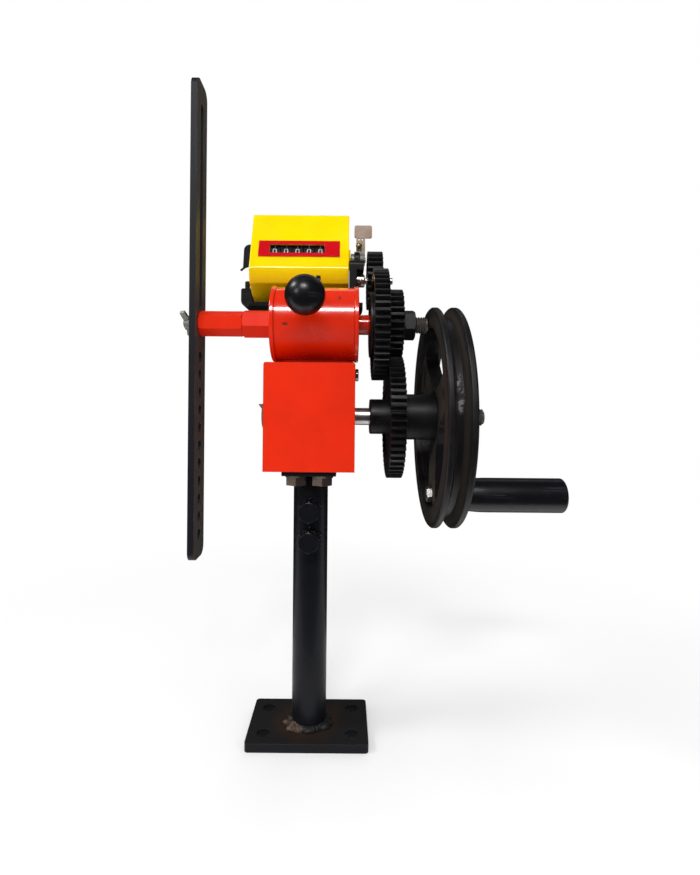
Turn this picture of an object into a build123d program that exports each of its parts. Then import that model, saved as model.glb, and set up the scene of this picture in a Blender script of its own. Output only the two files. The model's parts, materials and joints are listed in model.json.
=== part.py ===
from build123d import *
import os
from math import acos, cos, degrees, pi, radians, sin, sqrt, tan

# Hand operated coil winding machine: a post on a base plate carries a red head
# with two parallel shafts, an open gear train, a turns counter and a handwheel.
# Millimetres.  Origin: centre of the base plate's underside.
# +X points to the crank side, +Y to the counter side, +Z up.

# ---- base and post ----
BASE_LENGTH = 82.0
BASE_WIDTH = 52.0
BASE_THICKNESS = 6.0
BASE_CORNER = 2.5
BASE_HOLE_D = 9.0
BASE_HOLE_PITCH_X = 60.0
BASE_HOLE_PITCH_Y = 29.0
POST_D = 24.0
POST_WALL = 2.0
POST_LENGTH = 175.5
WELD_LEG = 6.5
STEM_LENGTH = 120.0
CLAMP_BOLT_DROPS = (24.5, 44.5)

# ---- clearances ----
SLIDE_FIT = 0.08
RUN_FIT = 0.05
SEAT_FIT = 0.02
BOLT_PLAY = 0.25
FACE_GAP = 0.4

# ---- M8 fasteners ----
BOLT_D = 8.0
BOLT_AF = 13.0
BOLT_HEAD = 5.3
NUT_HEIGHT = 6.5
WASHER_D = 15.0
WASHER_THICKNESS = 1.4
HEAD_CROWN = 0.94
CROWN_SLOPE = 60.0

# ---- head ----
FLANGE_LENGTH = 36.0
FLANGE_WIDTH = 50.0
FLANGE_THICKNESS = 3.0
FLANGE_BOLT_X = 8.7
FLANGE_BOLT_Y = 17.2
BOX_LENGTH = 60.3
BOX_DEPTH = 54.0
BOX_HEIGHT = 72.0
BOX_WALL = 3.0
BOX_CORNER = 1.5
BACK_COVER_THICKNESS = 2.0
BACK_TAB_DEPTH = 22.0
BACK_TAB_HEIGHT = 11.0
SIDE_SCREW_D = 5.0
SIDE_SCREW_HEAD_D = 9.0
SIDE_SCREW_HEAD = 3.0
SIDE_SCREW_DROP = 6.4
SADDLE_HEIGHT = 3.0
SADDLE_WIDTH = 8.0
SADDLE_LENGTH = 46.0
HOUSING_D = 51.0
HOUSING_WALL = 3.0
HOUSING_LEFT = -27.3
HOUSING_RIGHT = 32.4
CAP_THICKNESS = 3.0
CAP_OVERHANG = 1.0

# ---- shafts and their ball bearings ----
SHAFT_D = 12.0
BEARING_D = 28.0
BEARING_WIDTH = 8.0
RACE_WALL = 3.0
SHIELD_THICKNESS = 0.8
SEAT_WALL = 4.0
SHAFT_HOLE_D = 15.0

# ---- gear train ----
MODULE = 1.5
INPUT_TEETH = 55
SMALL_TEETH = 31
LARGE_TEETH = 50
COUNTER_TEETH = 28
PRESSURE_ANGLE = 20.0
BACKLASH = 0.24
GEAR_WIDTH = 10.0
GEAR_RECESS = 1.5
GEAR_RIM = 5.0
LARGE_GEAR_X = 42.3
INPUT_HUB_D = 24.5
INPUT_HUB_LENGTH = 11.9
COUNTER_DIRECTION = 44.0
COUNTER_GEAR_LEAD = 2.4
COUNTER_GEAR_WIDTH = 11.5
FLANGE_DISC_D = 46.0
FLANGE_DISC_WIDTH = 2.0

# ---- spindle ----
COLLAR_D = 14.0
HEX_LARGE_AF = 18.0
HEX_LARGE_TURN = 15.0
HEX_SMALL_AF = 15.6
HEX_SMALL_TURN = 30.0
HEX_LARGE_LENGTH = 20.4
HEX_SMALL_LENGTH = 30.8
SPINDLE_RIGHT = 81.0
SPINDLE_NUT_AF = 19.0
SPINDLE_NUT_HEIGHT = 8.0
SPINDLE_WASHER_D = 22.0
SPINDLE_WASHER_THICKNESS = 1.3
STUD_D = 6.0
STUD_SPARE = 1.0

# ---- former arm ----
ARM_THICKNESS = 4.5
ARM_WIDTH = 25.4
ARM_UP = 169.0
ARM_DOWN = 165.0
ARM_CORNER = 7.0
ARM_SLOT_WIDTH = 7.0
ARM_SLOT_START = 10.0
ARM_SLOT_END = 154.0
ARM_HOLE_D = 7.0
ARM_HOLE_PITCH = 12.5
ARM_HOLE_COUNT = 11
ARM_FIRST_HOLE = 23.4
WING_HUB_D = 11.0
WING_HUB_HEIGHT = 4.6
WING_SPAN = 24.0
WING_THICKNESS = 2.2
WING_RISE = 6.0
WING_TURN = 55.0

# ---- crank ----
INPUT_SHAFT_LEFT = -33.7
INPUT_SHAFT_RIGHT = 121.0
LOCK_NUT_AF = 18.0
LOCK_NUT_HEIGHT = 2.5
TAB_WASHER_THICKNESS = 1.0
TAB_REACH = 5.4
TAB_WIDTH = 6.6
WHEEL_D = 152.4
WHEEL_LEFT = 81.8
WHEEL_WIDTH = 17.4
WHEEL_CREST = 4.0
CREST_EDGE = 1.0
GROOVE_DEPTH = 8.0
GROOVE_ANGLE = 38.0
RIM_DEPTH = 13.7
WEB_LEFT = 86.0
WEB_THICKNESS = 10.0
WEB_LIP = 1.0
WEB_ARMS = 3
ARM_ROOT_WIDTH = 26.0
WINDOW_CORNER = 5.0
WHEEL_HUB_D = 32.0
WHEEL_HUB_SPARE = 3.0
WHEEL_TURN = 6.0
WHEEL_NUT_AF = 19.0
WHEEL_NUT_HEIGHT = 7.0
WHEEL_WASHER_D = 24.0
WHEEL_WASHER_THICKNESS = 1.5
CRANK_FROM_RIM = 20.2
CRANK_BOSS_D = 20.0
HANDLE_BOLT_D = 6.0
HANDLE_BOLT_AF = 10.0
HANDLE_BOLT_HEAD = 4.0
GRIP_LEFT = 101.0
GRIP_LENGTH = 79.0
GRIP_ROOT_D = 22.0
GRIP_D = 24.5
GRIP_SWELL = 24.0
GRIP_END_ROUND = 4.0
GRIP_BORE_DEPTH = 68.0

# ---- turns counter, placed from its input shaft ----
COUNTER_SHAFT_D = 5.0
COUNTER_SHAFT_INSIDE = 2.0
COUNTER_SHAFT_RIGHT = 60.0
COUNTER_BUSH_D = 10.0
COUNTER_BUSH_LENGTH = 9.0
COUNTER_BUSH_INSIDE = 2.8
COUNTER_RIGHT = 25.7
COUNTER_LENGTH = 77.5
COVER_WALL = 1.5
COUNTER_BASE_BELOW = 19.6
COUNTER_BASE_THICKNESS = 4.0
COUNTER_BACK = 36.0
NOSE_FRONT = -7.1
NOSE_TOP = 9.3
NOSE_BULGE = 0.9
NOSE_BOTTOM_Y = -4.2
NOSE_BOTTOM_Z = -3.2
COVER_FOOT_Y = 16.7
COVER_TOP_Y = 12.1
COVER_TOP_Z = 56.2
COVER_TOP_BACK_DROP = 2.0
COVER_TOP_ROUND = 2.5
COVER_BOSS_D = 16.0
COVER_BOSS_THICKNESS = 1.2
BEZEL_MARGIN_LEFT = 6.4
BEZEL_MARGIN_RIGHT = 7.2
BEZEL_HEIGHT = 15.0
BEZEL_THICKNESS = 0.8
WINDOW_FROM_LEFT = 36.8
WINDOW_LENGTH = 43.2
WINDOW_HEIGHT = 8.9
WINDOW_CENTRE_Z = 24.6
GLASS_THICKNESS = 0.8
WHEEL_COUNT = 5
WHEEL_PITCH = 9.0
NUMBER_WHEEL_D = 22.0
NUMBER_WHEEL_GAP = 0.6
NUMBER_WHEEL_BEHIND = 1.0
AXLE_D = 4.0
CASE_LENGTH = 11.2
CASE_NOSE_LENGTH = 5.8
CASE_STEP_ABOVE = 7.2
CASE_FRONT = -9.0
CASE_BACK = 24.0
CASE_TOP = 14.7
CASE_ROUND = 4.0
EAR_D = 13.0
EAR_THICKNESS = 4.5
EAR_FROM_CASE = 3.9
AXLE_WASHER_D = 9.8
LUG_LENGTH = 9.0
LUG_HEIGHT = 15.0
LUG_DEPTH = 24.0
LUG_ROUND = 5.5
STOP_PIN_D = 4.0
STOP_PIN_RISE = 6.5
PILLAR_WIDTH = 9.0
PILLAR_THICKNESS = 3.0
CLIP_THICKNESS = 1.6
CLIP_WIDTH = 6.7
CLIP_HEIGHT = 20.0
CLIP_ABOVE = 5.6
CLIP_HOOK = 3.2
SHELF_THICKNESS = 3.0
SHELF_INSET = 1.0
GUSSET_REACH = 22.0
GUSSET_DROP = 8.0
GUSSET_THICKNESS = 4.0
SHELF_SCREW_D = 4.0
SHELF_SCREW_HEAD_D = 7.5
SHELF_SCREW_HEAD = 3.0
SHELF_SCREW_FROM_LEFT = 19.0
SHELF_SCREW_FROM_RIGHT = 11.7

# ---- reset lever on the number wheels' axle ----
LEVER_HUB_D = 9.0
LEVER_HUB_LENGTH = 3.8
LEVER_STEM_LEFT = 31.5
LEVER_STEM_WIDTH = 7.2
LEVER_STEM_START = 7.2
LEVER_THICKNESS = 2.0
LEVER_NECK = 17.9
LEVER_REACH = 27.9
LEVER_HEAD_LEFT = 30.0
LEVER_HEAD_WIDTH = 14.2
LEVER_HOLE_D = 1.6

# ---- brake lever ----
BALL_D = 25.0
BALL_X = -1.4
BALL_Y = -51.0
BALL_BELOW_TOP = 14.8
PIVOT_X = -1.0
PIVOT_Y = -7.0
PIVOT_ABOVE_TOP = 3.0
ROD_D = 6.0
ROD_FLAT = 6.0
PIVOT_BOSS_D = 7.0
PIVOT_BOSS_LENGTH = 7.0
PIVOT_PIN_D = 3.0
EAR_WALL = 3.0
EAR_WIDTH = 9.0
PIN_SPARE = 0.5

# ---- places worked out from the sizes above ----
PIVOT_Z = HOUSING_D / 2 + PIVOT_ABOVE_TOP
BALL_Z = HOUSING_D / 2 - BALL_BELOW_TOP
POST_TOP = BASE_THICKNESS + POST_LENGTH
FLANGE_TOP = POST_TOP + FLANGE_THICKNESS
BOX_TOP = FLANGE_TOP + BOX_HEIGHT
SPINDLE_Z = BOX_TOP + SADDLE_HEIGHT + HOUSING_D / 2
INPUT_Z = SPINDLE_Z - MODULE * (INPUT_TEETH + SMALL_TEETH) / 2
COUNTER_CENTRES = MODULE * (LARGE_TEETH + COUNTER_TEETH) / 2
COUNTER_Y = COUNTER_CENTRES * cos(radians(COUNTER_DIRECTION))
COUNTER_Z = SPINDLE_Z + COUNTER_CENTRES * sin(radians(COUNTER_DIRECTION))
SMALL_GEAR_X = LARGE_GEAR_X + GEAR_WIDTH
SMALL_GEAR_WIDTH = GEAR_WIDTH + FACE_GAP
INPUT_GEAR_X = SMALL_GEAR_X + FACE_GAP
INPUT_GEAR_RIGHT = INPUT_GEAR_X + GEAR_WIDTH
SPINDLE_GEARS_RIGHT = SMALL_GEAR_X + SMALL_GEAR_WIDTH
COUNTER_GEAR_X = LARGE_GEAR_X - COUNTER_GEAR_LEAD
COUNTER_LEFT = COUNTER_RIGHT - COUNTER_LENGTH
COUNTER_BASE_Z = COUNTER_Z - COUNTER_BASE_BELOW
COVER_FOOT_Z = COUNTER_BASE_Z + COUNTER_BASE_THICKNESS
FACE_RISE = COVER_TOP_Z - NOSE_TOP
FACE_SLOPE = (COVER_TOP_Y - NOSE_FRONT) / FACE_RISE
FACE_LEAN = sqrt(1 + FACE_SLOPE**2)
FACE_OUT = (0.0, -1 / FACE_LEAN, FACE_SLOPE / FACE_LEAN)
BEZEL_LEFT = COUNTER_LEFT + BEZEL_MARGIN_LEFT
BEZEL_LENGTH = COUNTER_LENGTH - BEZEL_MARGIN_LEFT - BEZEL_MARGIN_RIGHT
WINDOW_CENTRE_X = COUNTER_LEFT + WINDOW_FROM_LEFT
WINDOW_Y = COUNTER_Y + NOSE_FRONT + FACE_SLOPE * (WINDOW_CENTRE_Z - NOSE_TOP)
WINDOW_Z = COUNTER_Z + WINDOW_CENTRE_Z
AXLE_BEHIND = COVER_WALL + NUMBER_WHEEL_BEHIND + NUMBER_WHEEL_D / 2
AXLE_Y = WINDOW_Y - AXLE_BEHIND * FACE_OUT[1]
AXLE_Z = WINDOW_Z - AXLE_BEHIND * FACE_OUT[2]
CASE_LEFT = COUNTER_RIGHT + FACE_GAP
CASE_RIGHT = CASE_LEFT + CASE_LENGTH
CASE_NOSE_RIGHT = CASE_LEFT + CASE_NOSE_LENGTH
COUNTER_SHAFT_LEFT = CASE_LEFT + COUNTER_SHAFT_INSIDE
COVER_BOSS_RIGHT = COUNTER_RIGHT + COVER_BOSS_THICKNESS
SHELF_LEFT = COUNTER_LEFT + SHELF_INSET
SHELF_RIGHT = CASE_RIGHT - SHELF_INSET
SHELF_SCREW_X = (COUNTER_LEFT + SHELF_SCREW_FROM_LEFT, COUNTER_RIGHT - SHELF_SCREW_FROM_RIGHT)
EAR_LEFT = CASE_LEFT + EAR_FROM_CASE
EAR_RIGHT = EAR_LEFT + EAR_THICKNESS
ARM_RIGHT = HOUSING_LEFT - FACE_GAP - HEX_LARGE_LENGTH - HEX_SMALL_LENGTH
ARM_LEFT = ARM_RIGHT - ARM_THICKNESS
WHEEL_RIGHT = WHEEL_LEFT + WHEEL_WIDTH
WEB_RIGHT = WEB_LEFT + WEB_THICKNESS
WHEEL_HUB_RIGHT = WEB_RIGHT + WHEEL_HUB_SPARE
CRANK_ANGLE = radians(WHEEL_TURN - 90.0)
CRANK_RADIUS = WHEEL_D / 2 - CRANK_FROM_RIM
CRANK_Y = CRANK_RADIUS * cos(CRANK_ANGLE)
CRANK_Z = INPUT_Z + CRANK_RADIUS * sin(CRANK_ANGLE)


# ---- general shapes ----
def side_plane(x, y=0.0, z=0.0):
    """Plane square to the shafts: local x is +Y, local y is +Z, normal is +X."""
    return Plane(origin=(x, y, z), x_dir=(0, 1, 0), z_dir=(1, 0, 0))


def disc(x_from, x_to, diameter, y, z, bore=0.0):
    """Round bar, disc or ring along X, between two ends in either order."""
    section = Circle(diameter / 2)
    if bore > 0:
        section -= Circle(bore / 2)
    return extrude(side_plane(min(x_from, x_to), y, z) * section, amount=abs(x_to - x_from))


def turned(points, y, z):
    """Body turned about an X axis through (y, z), from (x, radius) corners."""
    outline = make_face(Polyline(*points, close=True).edges())
    blank = Plane(origin=(0, y, z), x_dir=(1, 0, 0), z_dir=(0, -1, 0)) * outline
    return revolve(blank, axis=Axis((0, y, z), (1, 0, 0)))


def hex_bar(x_from, x_to, across_flats, y, z, bore=0.0, turn=0.0, chamfered=True):
    """Hexagonal bar or nut along X, with the corners of its ends turned off."""
    section = RegularPolygon(across_flats / 2, 6, major_radius=False, rotation=turn)
    if bore > 0:
        section -= Circle(bore / 2)
    body = extrude(side_plane(x_from, y, z) * section, amount=x_to - x_from)
    if chamfered:
        corner = across_flats / 2 / cos(radians(30))
        drop = (corner - across_flats / 2 + 0.2) * tan(radians(30))
        body &= turned(
            [(x_from, 0), (x_from, across_flats / 2 - 0.2), (x_from + drop, corner),
             (x_to - drop, corner), (x_to, across_flats / 2 - 0.2), (x_to, 0)], y, z)
    return body


def hex_post(z_from, z_to, across_flats, x, y, bore=0.0, turn=0.0):
    """Hexagonal bar or nut that stands along Z."""
    section = RegularPolygon(across_flats / 2, 6, major_radius=False, rotation=turn)
    if bore > 0:
        section -= Circle(bore / 2)
    return extrude(Plane(origin=(x, y, z_from)) * section, amount=z_to - z_from)


def post_along_z(z_from, z_to, diameter, x, y, bore=0.0):
    """Round bar, disc or ring along Z."""
    section = Circle(diameter / 2)
    if bore > 0:
        section -= Circle(bore / 2)
    return extrude(Plane(origin=(x, y, z_from)) * section, amount=z_to - z_from)


def block(x_from, x_to, y_from, y_to, z_from, z_to):
    """Rectangular block between two corners."""
    centre = Pos((x_from + x_to) / 2, (y_from + y_to) / 2, (z_from + z_to) / 2)
    return centre * Box(abs(x_to - x_from), abs(y_to - y_from), abs(z_to - z_from))


def rod_between(start, end, diameter):
    """Round rod between two points."""
    direction = Vector(*end) - Vector(*start)
    return extrude(Plane(origin=start, z_dir=direction) * Circle(diameter / 2), amount=direction.length)


def save(name, *solids):
    """Write one node, as a single solid or as a group of separate solids."""
    shape = solids[0] if len(solids) == 1 else Compound(children=list(solids))
    shape.label = name
    export_step(shape, f"parts/{name}.step")


# ---- gears ----
def involute(radius, base_radius):
    """Involute function of the flank at a radius, in radians."""
    pressure = acos(min(1.0, base_radius / radius))
    return tan(pressure) - pressure


def gear_section(teeth, first_tooth):
    """Outline of a spur gear with involute flanks; first_tooth is a tooth's angle in degrees."""
    pitch_radius = MODULE * teeth / 2
    base_radius = pitch_radius * cos(radians(PRESSURE_ANGLE))
    tip_radius = pitch_radius + MODULE
    root_radius = pitch_radius - 1.25 * MODULE
    start_radius = max(root_radius, base_radius)
    half_tooth = (pi * MODULE / 2 - BACKLASH / 2) / (2 * pitch_radius)

    def flank_point(radius, centre, side):
        share = involute(pitch_radius, base_radius) - involute(max(radius, base_radius), base_radius)
        angle = centre + side * (half_tooth + share)
        return (radius * cos(angle), radius * sin(angle))

    edges = []
    for number in range(teeth):
        centre = radians(first_tooth) + 2 * pi * number / teeth
        middle_radius = (start_radius + tip_radius) / 2
        corners = [flank_point(start_radius, centre, side) for side in (-1, 1)]
        middles = [flank_point(middle_radius, centre, side) for side in (-1, 1)]
        tips = [flank_point(tip_radius, centre, side) for side in (-1, 1)]
        tip_middle = (tip_radius * cos(centre), tip_radius * sin(centre))
        roots = [flank_point(root_radius, centre, side) for side in (-1, 1)]
        if root_radius < start_radius:
            edges.append(Line(roots[0], corners[0]))
            edges.append(Line(corners[1], roots[1]))
        edges.append(ThreePointArc(corners[0], middles[0], tips[0]))
        edges.append(ThreePointArc(tips[0], tip_middle, tips[1]))
        edges.append(ThreePointArc(tips[1], middles[1], corners[1]))
        gap_centre = centre + pi / teeth
        gap_middle = (root_radius * cos(gap_centre), root_radius * sin(gap_centre))
        next_root = flank_point(root_radius, centre + 2 * pi / teeth, -1)
        edges.append(ThreePointArc(roots[1], gap_middle, next_root))
    return make_face(edges)


def gear(teeth, first_tooth, x_from, width, y, z, bore, hub_d=0.0, left_recess=0.0):
    """Spur gear on an X axis, with an optional turned recess in its left face round a hub."""
    body = extrude(side_plane(x_from, y, z) * gear_section(teeth, first_tooth), amount=width)
    body -= disc(x_from - 1, x_from + width + 1, bore, y, z)
    if left_recess > 0:
        recess_d = MODULE * (teeth - 2.5) - 2 * GEAR_RIM
        body -= disc(x_from - 1, x_from + left_recess, recess_d, y, z, bore=hub_d)
    return body


# ---- stand ----
def base_plate():
    outline = RectangleRounded(BASE_LENGTH, BASE_WIDTH, BASE_CORNER)
    for spot in GridLocations(BASE_HOLE_PITCH_X, BASE_HOLE_PITCH_Y, 2, 2):
        outline -= spot * Circle(BASE_HOLE_D / 2)
    return extrude(outline, amount=BASE_THICKNESS)


def post_tube():
    tube = post_along_z(BASE_THICKNESS, POST_TOP, POST_D, 0, 0, bore=POST_D - 2 * POST_WALL)
    for drop in CLAMP_BOLT_DROPS:
        tube -= Pos(0, -POST_D / 2, POST_TOP - drop) * Rot(90, 0, 0) * Cylinder(
            BOLT_D / 2 + BOLT_PLAY, POST_D / 2)
    return tube


def post_weld():
    """Fillet weld round the post's foot, fuller at the front left where the runs end."""
    leg = WELD_LEG
    radius = POST_D / 2
    with BuildSketch(Plane.XZ) as bead:
        with BuildLine():
            Polyline((radius, 0), (radius + leg, 0), (radius + leg * 0.92, leg * 0.3),
                     (radius + leg * 0.3, leg * 0.92), (radius, leg), close=True)
        make_face()
    ring = Pos(0, 0, BASE_THICKNESS) * revolve(bead.sketch, axis=Axis.Z)
    for angle, swell in ((200, 1.0), (228, 1.35), (255, 1.1), (300, 0.9)):
        reach = radius + leg * 0.45
        spot = Pos(reach * cos(radians(angle)), reach * sin(radians(angle)), BASE_THICKNESS)
        ring += spot * Sphere(leg * 0.62 * swell)
    ring -= post_along_z(BASE_THICKNESS - 1, POST_TOP, POST_D, 0, 0)
    return ring - block(-POST_D * 2, POST_D * 2, -POST_D * 2, POST_D * 2, -POST_D, BASE_THICKNESS)


def clamp_parts():
    """The welded nuts on the post and the two bolts that press on the stem."""
    nuts = []
    bolts = []
    nut_face = -(POST_D / 2 + NUT_HEIGHT - 1.0)
    stem_face = -(POST_D / 2 - POST_WALL - SLIDE_FIT)
    head_face = nut_face - FACE_GAP * 2
    for drop in CLAMP_BOLT_DROPS:
        z = POST_TOP - drop
        front = Plane(origin=(0, nut_face, z), x_dir=(1, 0, 0), z_dir=(0, -1, 0))
        nut = extrude(front * RegularPolygon(BOLT_AF / 2, 6, major_radius=False), amount=nut_face)
        nut -= post_along_z(z - BOLT_AF, z + BOLT_AF, POST_D, 0, 0)
        nut -= Pos(0, nut_face / 2, z) * Rot(90, 0, 0) * Cylinder(BOLT_D / 2 + SEAT_FIT, -nut_face * 2)
        nuts.append(nut.solids()[0] if len(nut.solids()) == 1 else nut.solids().sort_by(Axis.Y)[0])
        shank_length = stem_face - 0.1 - head_face
        shank = Pos(0, head_face + shank_length / 2, z) * Rot(90, 0, 0) * Cylinder(
            BOLT_D / 2 - SEAT_FIT, shank_length)
        head_front = Plane(origin=(0, head_face, z), x_dir=(1, 0, 0), z_dir=(0, -1, 0))
        head = extrude(head_front * RegularPolygon(BOLT_AF / 2, 6, major_radius=False, rotation=30),
                       amount=BOLT_HEAD)
        crown_radius = BOLT_AF / 2 * HEAD_CROWN
        crown = Cone(crown_radius + BOLT_HEAD * tan(radians(CROWN_SLOPE)), crown_radius, BOLT_HEAD)
        head &= Pos(0, head_face - BOLT_HEAD / 2, z) * Rot(90, 0, 0) * crown
        bolts.append(shank + head)
    return nuts, bolts


# ---- head ----
def head_stem():
    stem_d = POST_D - 2 * POST_WALL - 2 * SLIDE_FIT
    return post_along_z(POST_TOP - STEM_LENGTH, POST_TOP, stem_d, 0, 0)


def flange_spots():
    return [(x, y) for x in (-FLANGE_BOLT_X, FLANGE_BOLT_X) for y in (-FLANGE_BOLT_Y, FLANGE_BOLT_Y)]


def head_flange():
    plate = block(-FLANGE_LENGTH / 2, FLANGE_LENGTH / 2, -FLANGE_WIDTH / 2, FLANGE_WIDTH / 2,
                  POST_TOP, FLANGE_TOP)
    for x, y in flange_spots():
        plate -= post_along_z(POST_TOP - 1, FLANGE_TOP + 1, BOLT_D + 2 * BOLT_PLAY, x, y)
    return plate


def flange_fasteners():
    """Bolts from below through the flange and the box floor, with washers and nuts."""
    bolts = []
    washers = []
    nuts = []
    head_top = POST_TOP - WASHER_THICKNESS
    nut_base = FLANGE_TOP + BOX_WALL
    for x, y in flange_spots():
        head = hex_post(head_top - BOLT_HEAD, head_top, BOLT_AF, x, y, turn=30)
        shank = post_along_z(head_top, nut_base + NUT_HEIGHT + 1.5, BOLT_D - 2 * SEAT_FIT, x, y)
        bolts.append(head + shank)
        ring = post_along_z(head_top, POST_TOP, WASHER_D, x, y, bore=BOLT_D + BOLT_PLAY)
        washers.append(ring - post_along_z(head_top - 1, POST_TOP + 1, POST_D + 2 * FACE_GAP, 0, 0))
        nuts.append(hex_post(nut_base, nut_base + NUT_HEIGHT, BOLT_AF, x, y, bore=BOLT_D))
    return bolts, washers, nuts


def head_box():
    """Welded box with a closed front, an open back and a bearing seat in each side wall."""
    half_x = BOX_LENGTH / 2
    half_y = BOX_DEPTH / 2
    box = block(-half_x, half_x, -half_y, half_y, FLANGE_TOP, BOX_TOP)
    box = fillet(box.edges().filter_by(Axis.Y).group_by(Axis.Z)[-1], BOX_CORNER)
    box -= block(-half_x + BOX_WALL, half_x - BOX_WALL, -half_y + BOX_WALL, half_y + 1,
                 FLANGE_TOP + BOX_WALL, BOX_TOP - BOX_WALL)
    seat_d = BEARING_D + 2 * SEAT_WALL
    for side in (-1, 1):
        wall_inside = side * (half_x - BOX_WALL)
        seat_end = side * (half_x - BOX_WALL - BEARING_WIDTH)
        box += disc(wall_inside, seat_end, seat_d, 0, INPUT_Z)
        box -= disc(wall_inside, seat_end - side, BEARING_D + 2 * SEAT_FIT, 0, INPUT_Z)
    box -= disc(-half_x - 1, half_x + 1, SHAFT_HOLE_D, 0, INPUT_Z)
    for x, y in flange_spots():
        box -= post_along_z(FLANGE_TOP - 1, FLANGE_TOP + BOX_WALL + 1, BOLT_D + 2 * BOLT_PLAY, x, y)
    screw_z = BOX_TOP - SIDE_SCREW_DROP
    return box - disc(0, half_x + 1, SIDE_SCREW_D + 2 * SEAT_FIT, side_screw_y(), screw_z)


def side_screw_y():
    return BOX_DEPTH / 2 - BACK_TAB_DEPTH + 6.0


def back_cover():
    """Sheet that closes the box's back, with one tab bent forward along the right wall."""
    half_x = BOX_LENGTH / 2 - BOX_WALL - SEAT_FIT
    half_y = BOX_DEPTH / 2
    low = FLANGE_TOP + BOX_WALL + SEAT_FIT
    high = BOX_TOP - BOX_WALL - SEAT_FIT
    sheet = block(-half_x, half_x, half_y - BACK_COVER_THICKNESS, half_y, low, high)
    sheet += block(half_x - BACK_COVER_THICKNESS, half_x, half_y - BACK_TAB_DEPTH, half_y,
                   high - BACK_TAB_HEIGHT, high)
    return sheet - disc(0, BOX_LENGTH, SIDE_SCREW_D + 2 * SEAT_FIT, side_screw_y(),
                        BOX_TOP - SIDE_SCREW_DROP)


def side_screw():
    y = side_screw_y()
    z = BOX_TOP - SIDE_SCREW_DROP
    face = BOX_LENGTH / 2
    head = disc(face, face + SIDE_SCREW_HEAD, SIDE_SCREW_HEAD_D, y, z)
    head = fillet(head.edges().group_by(Axis.X)[-1], 0.8)
    head -= hex_bar(face + SIDE_SCREW_HEAD - 1.5, face + SIDE_SCREW_HEAD + 1, 3.0, y, z, chamfered=False)
    shank_end = face - BOX_WALL - BACK_COVER_THICKNESS - 3.0
    return head + disc(shank_end, face, SIDE_SCREW_D, y, z)


def saddle():
    """Strip welded between the box and the round housing, hollowed to the housing's curve."""
    middle = (HOUSING_LEFT + HOUSING_RIGHT) / 2
    strip = block(middle - SADDLE_LENGTH / 2, middle + SADDLE_LENGTH / 2, -SADDLE_WIDTH / 2,
                  SADDLE_WIDTH / 2, BOX_TOP, BOX_TOP + SADDLE_HEIGHT * 2)
    return strip - disc(-BOX_LENGTH, BOX_LENGTH, HOUSING_D, 0, SPINDLE_Z)


def spindle_housing():
    inside = HOUSING_D - 2 * HOUSING_WALL
    return disc(HOUSING_LEFT + CAP_THICKNESS, HOUSING_RIGHT - CAP_THICKNESS, HOUSING_D, 0, SPINDLE_Z,
                bore=inside)


def housing_cap(outer_x, side):
    """End cap with a flange outside the tube and a bearing seat inside it."""
    flange_x = outer_x - side * CAP_THICKNESS
    seat_x = flange_x - side * BEARING_WIDTH
    spigot_d = HOUSING_D - 2 * HOUSING_WALL - 2 * SEAT_FIT
    cap = disc(outer_x, flange_x, HOUSING_D + 2 * CAP_OVERHANG, 0, SPINDLE_Z)
    cap = fillet(cap.edges().filter_by(GeomType.CIRCLE), CAP_OVERHANG * 0.6)
    cap += disc(flange_x, seat_x, spigot_d, 0, SPINDLE_Z)
    cap -= disc(flange_x, seat_x - side, BEARING_D + 2 * SEAT_FIT, 0, SPINDLE_Z)
    return cap - disc(outer_x - HOUSING_D, outer_x + HOUSING_D, COLLAR_D + 2 * FACE_GAP, 0, SPINDLE_Z)


def bearing_outer(x_from, z):
    """Outer ring of a ball bearing, with a thin shield at each side."""
    x_to = x_from + BEARING_WIDTH
    inner_race_d = SHAFT_D + 2 * RACE_WALL
    ring = disc(x_from, x_to, BEARING_D, 0, z, bore=inner_race_d + 2 * FACE_GAP)
    raceway = disc(x_from + SHIELD_THICKNESS, x_to - SHIELD_THICKNESS, BEARING_D - 2 * RACE_WALL, 0, z)
    return ring - raceway


def bearing_inner(x_from, z):
    """Inner ring of a ball bearing, seated on the shaft."""
    return disc(x_from, x_from + BEARING_WIDTH, SHAFT_D + 2 * RACE_WALL, 0, z, bore=SHAFT_D + 2 * SEAT_FIT)


def bearing_places():
    """Left faces of the two bearings on the input shaft, then of the two on the spindle."""
    inside = BOX_LENGTH / 2 - BOX_WALL
    on_input = (-inside, inside - BEARING_WIDTH)
    on_spindle = (HOUSING_LEFT + CAP_THICKNESS, HOUSING_RIGHT - CAP_THICKNESS - BEARING_WIDTH)
    return on_input, on_spindle


# ---- spindle ----
def spindle_shaft():
    """Shaft with the thread for the gears' nut at the right and a stud for the arm at the left."""
    hex_left = ARM_RIGHT
    stud_left = ARM_LEFT - SPINDLE_WASHER_THICKNESS - WING_HUB_HEIGHT - STUD_SPARE
    shaft = disc(hex_left, SPINDLE_RIGHT, SHAFT_D, 0, SPINDLE_Z)
    shaft = chamfer(shaft.edges().filter_by(GeomType.CIRCLE).group_by(Axis.X)[-1], 1.0)
    return shaft + disc(stud_left, hex_left, STUD_D, 0, SPINDLE_Z)


def hex_sleeves():
    """The hexagonal sleeve next to the housing and the smaller one that carries the arm."""
    bore = SHAFT_D + 2 * SEAT_FIT
    joint_x = HOUSING_LEFT - FACE_GAP - HEX_LARGE_LENGTH
    large = hex_bar(joint_x, joint_x + HEX_LARGE_LENGTH, HEX_LARGE_AF, 0, SPINDLE_Z, bore=bore,
                    turn=HEX_LARGE_TURN)
    small = hex_bar(ARM_RIGHT, joint_x, HEX_SMALL_AF, 0, SPINDLE_Z, bore=bore, turn=HEX_SMALL_TURN)
    return large, small


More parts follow.
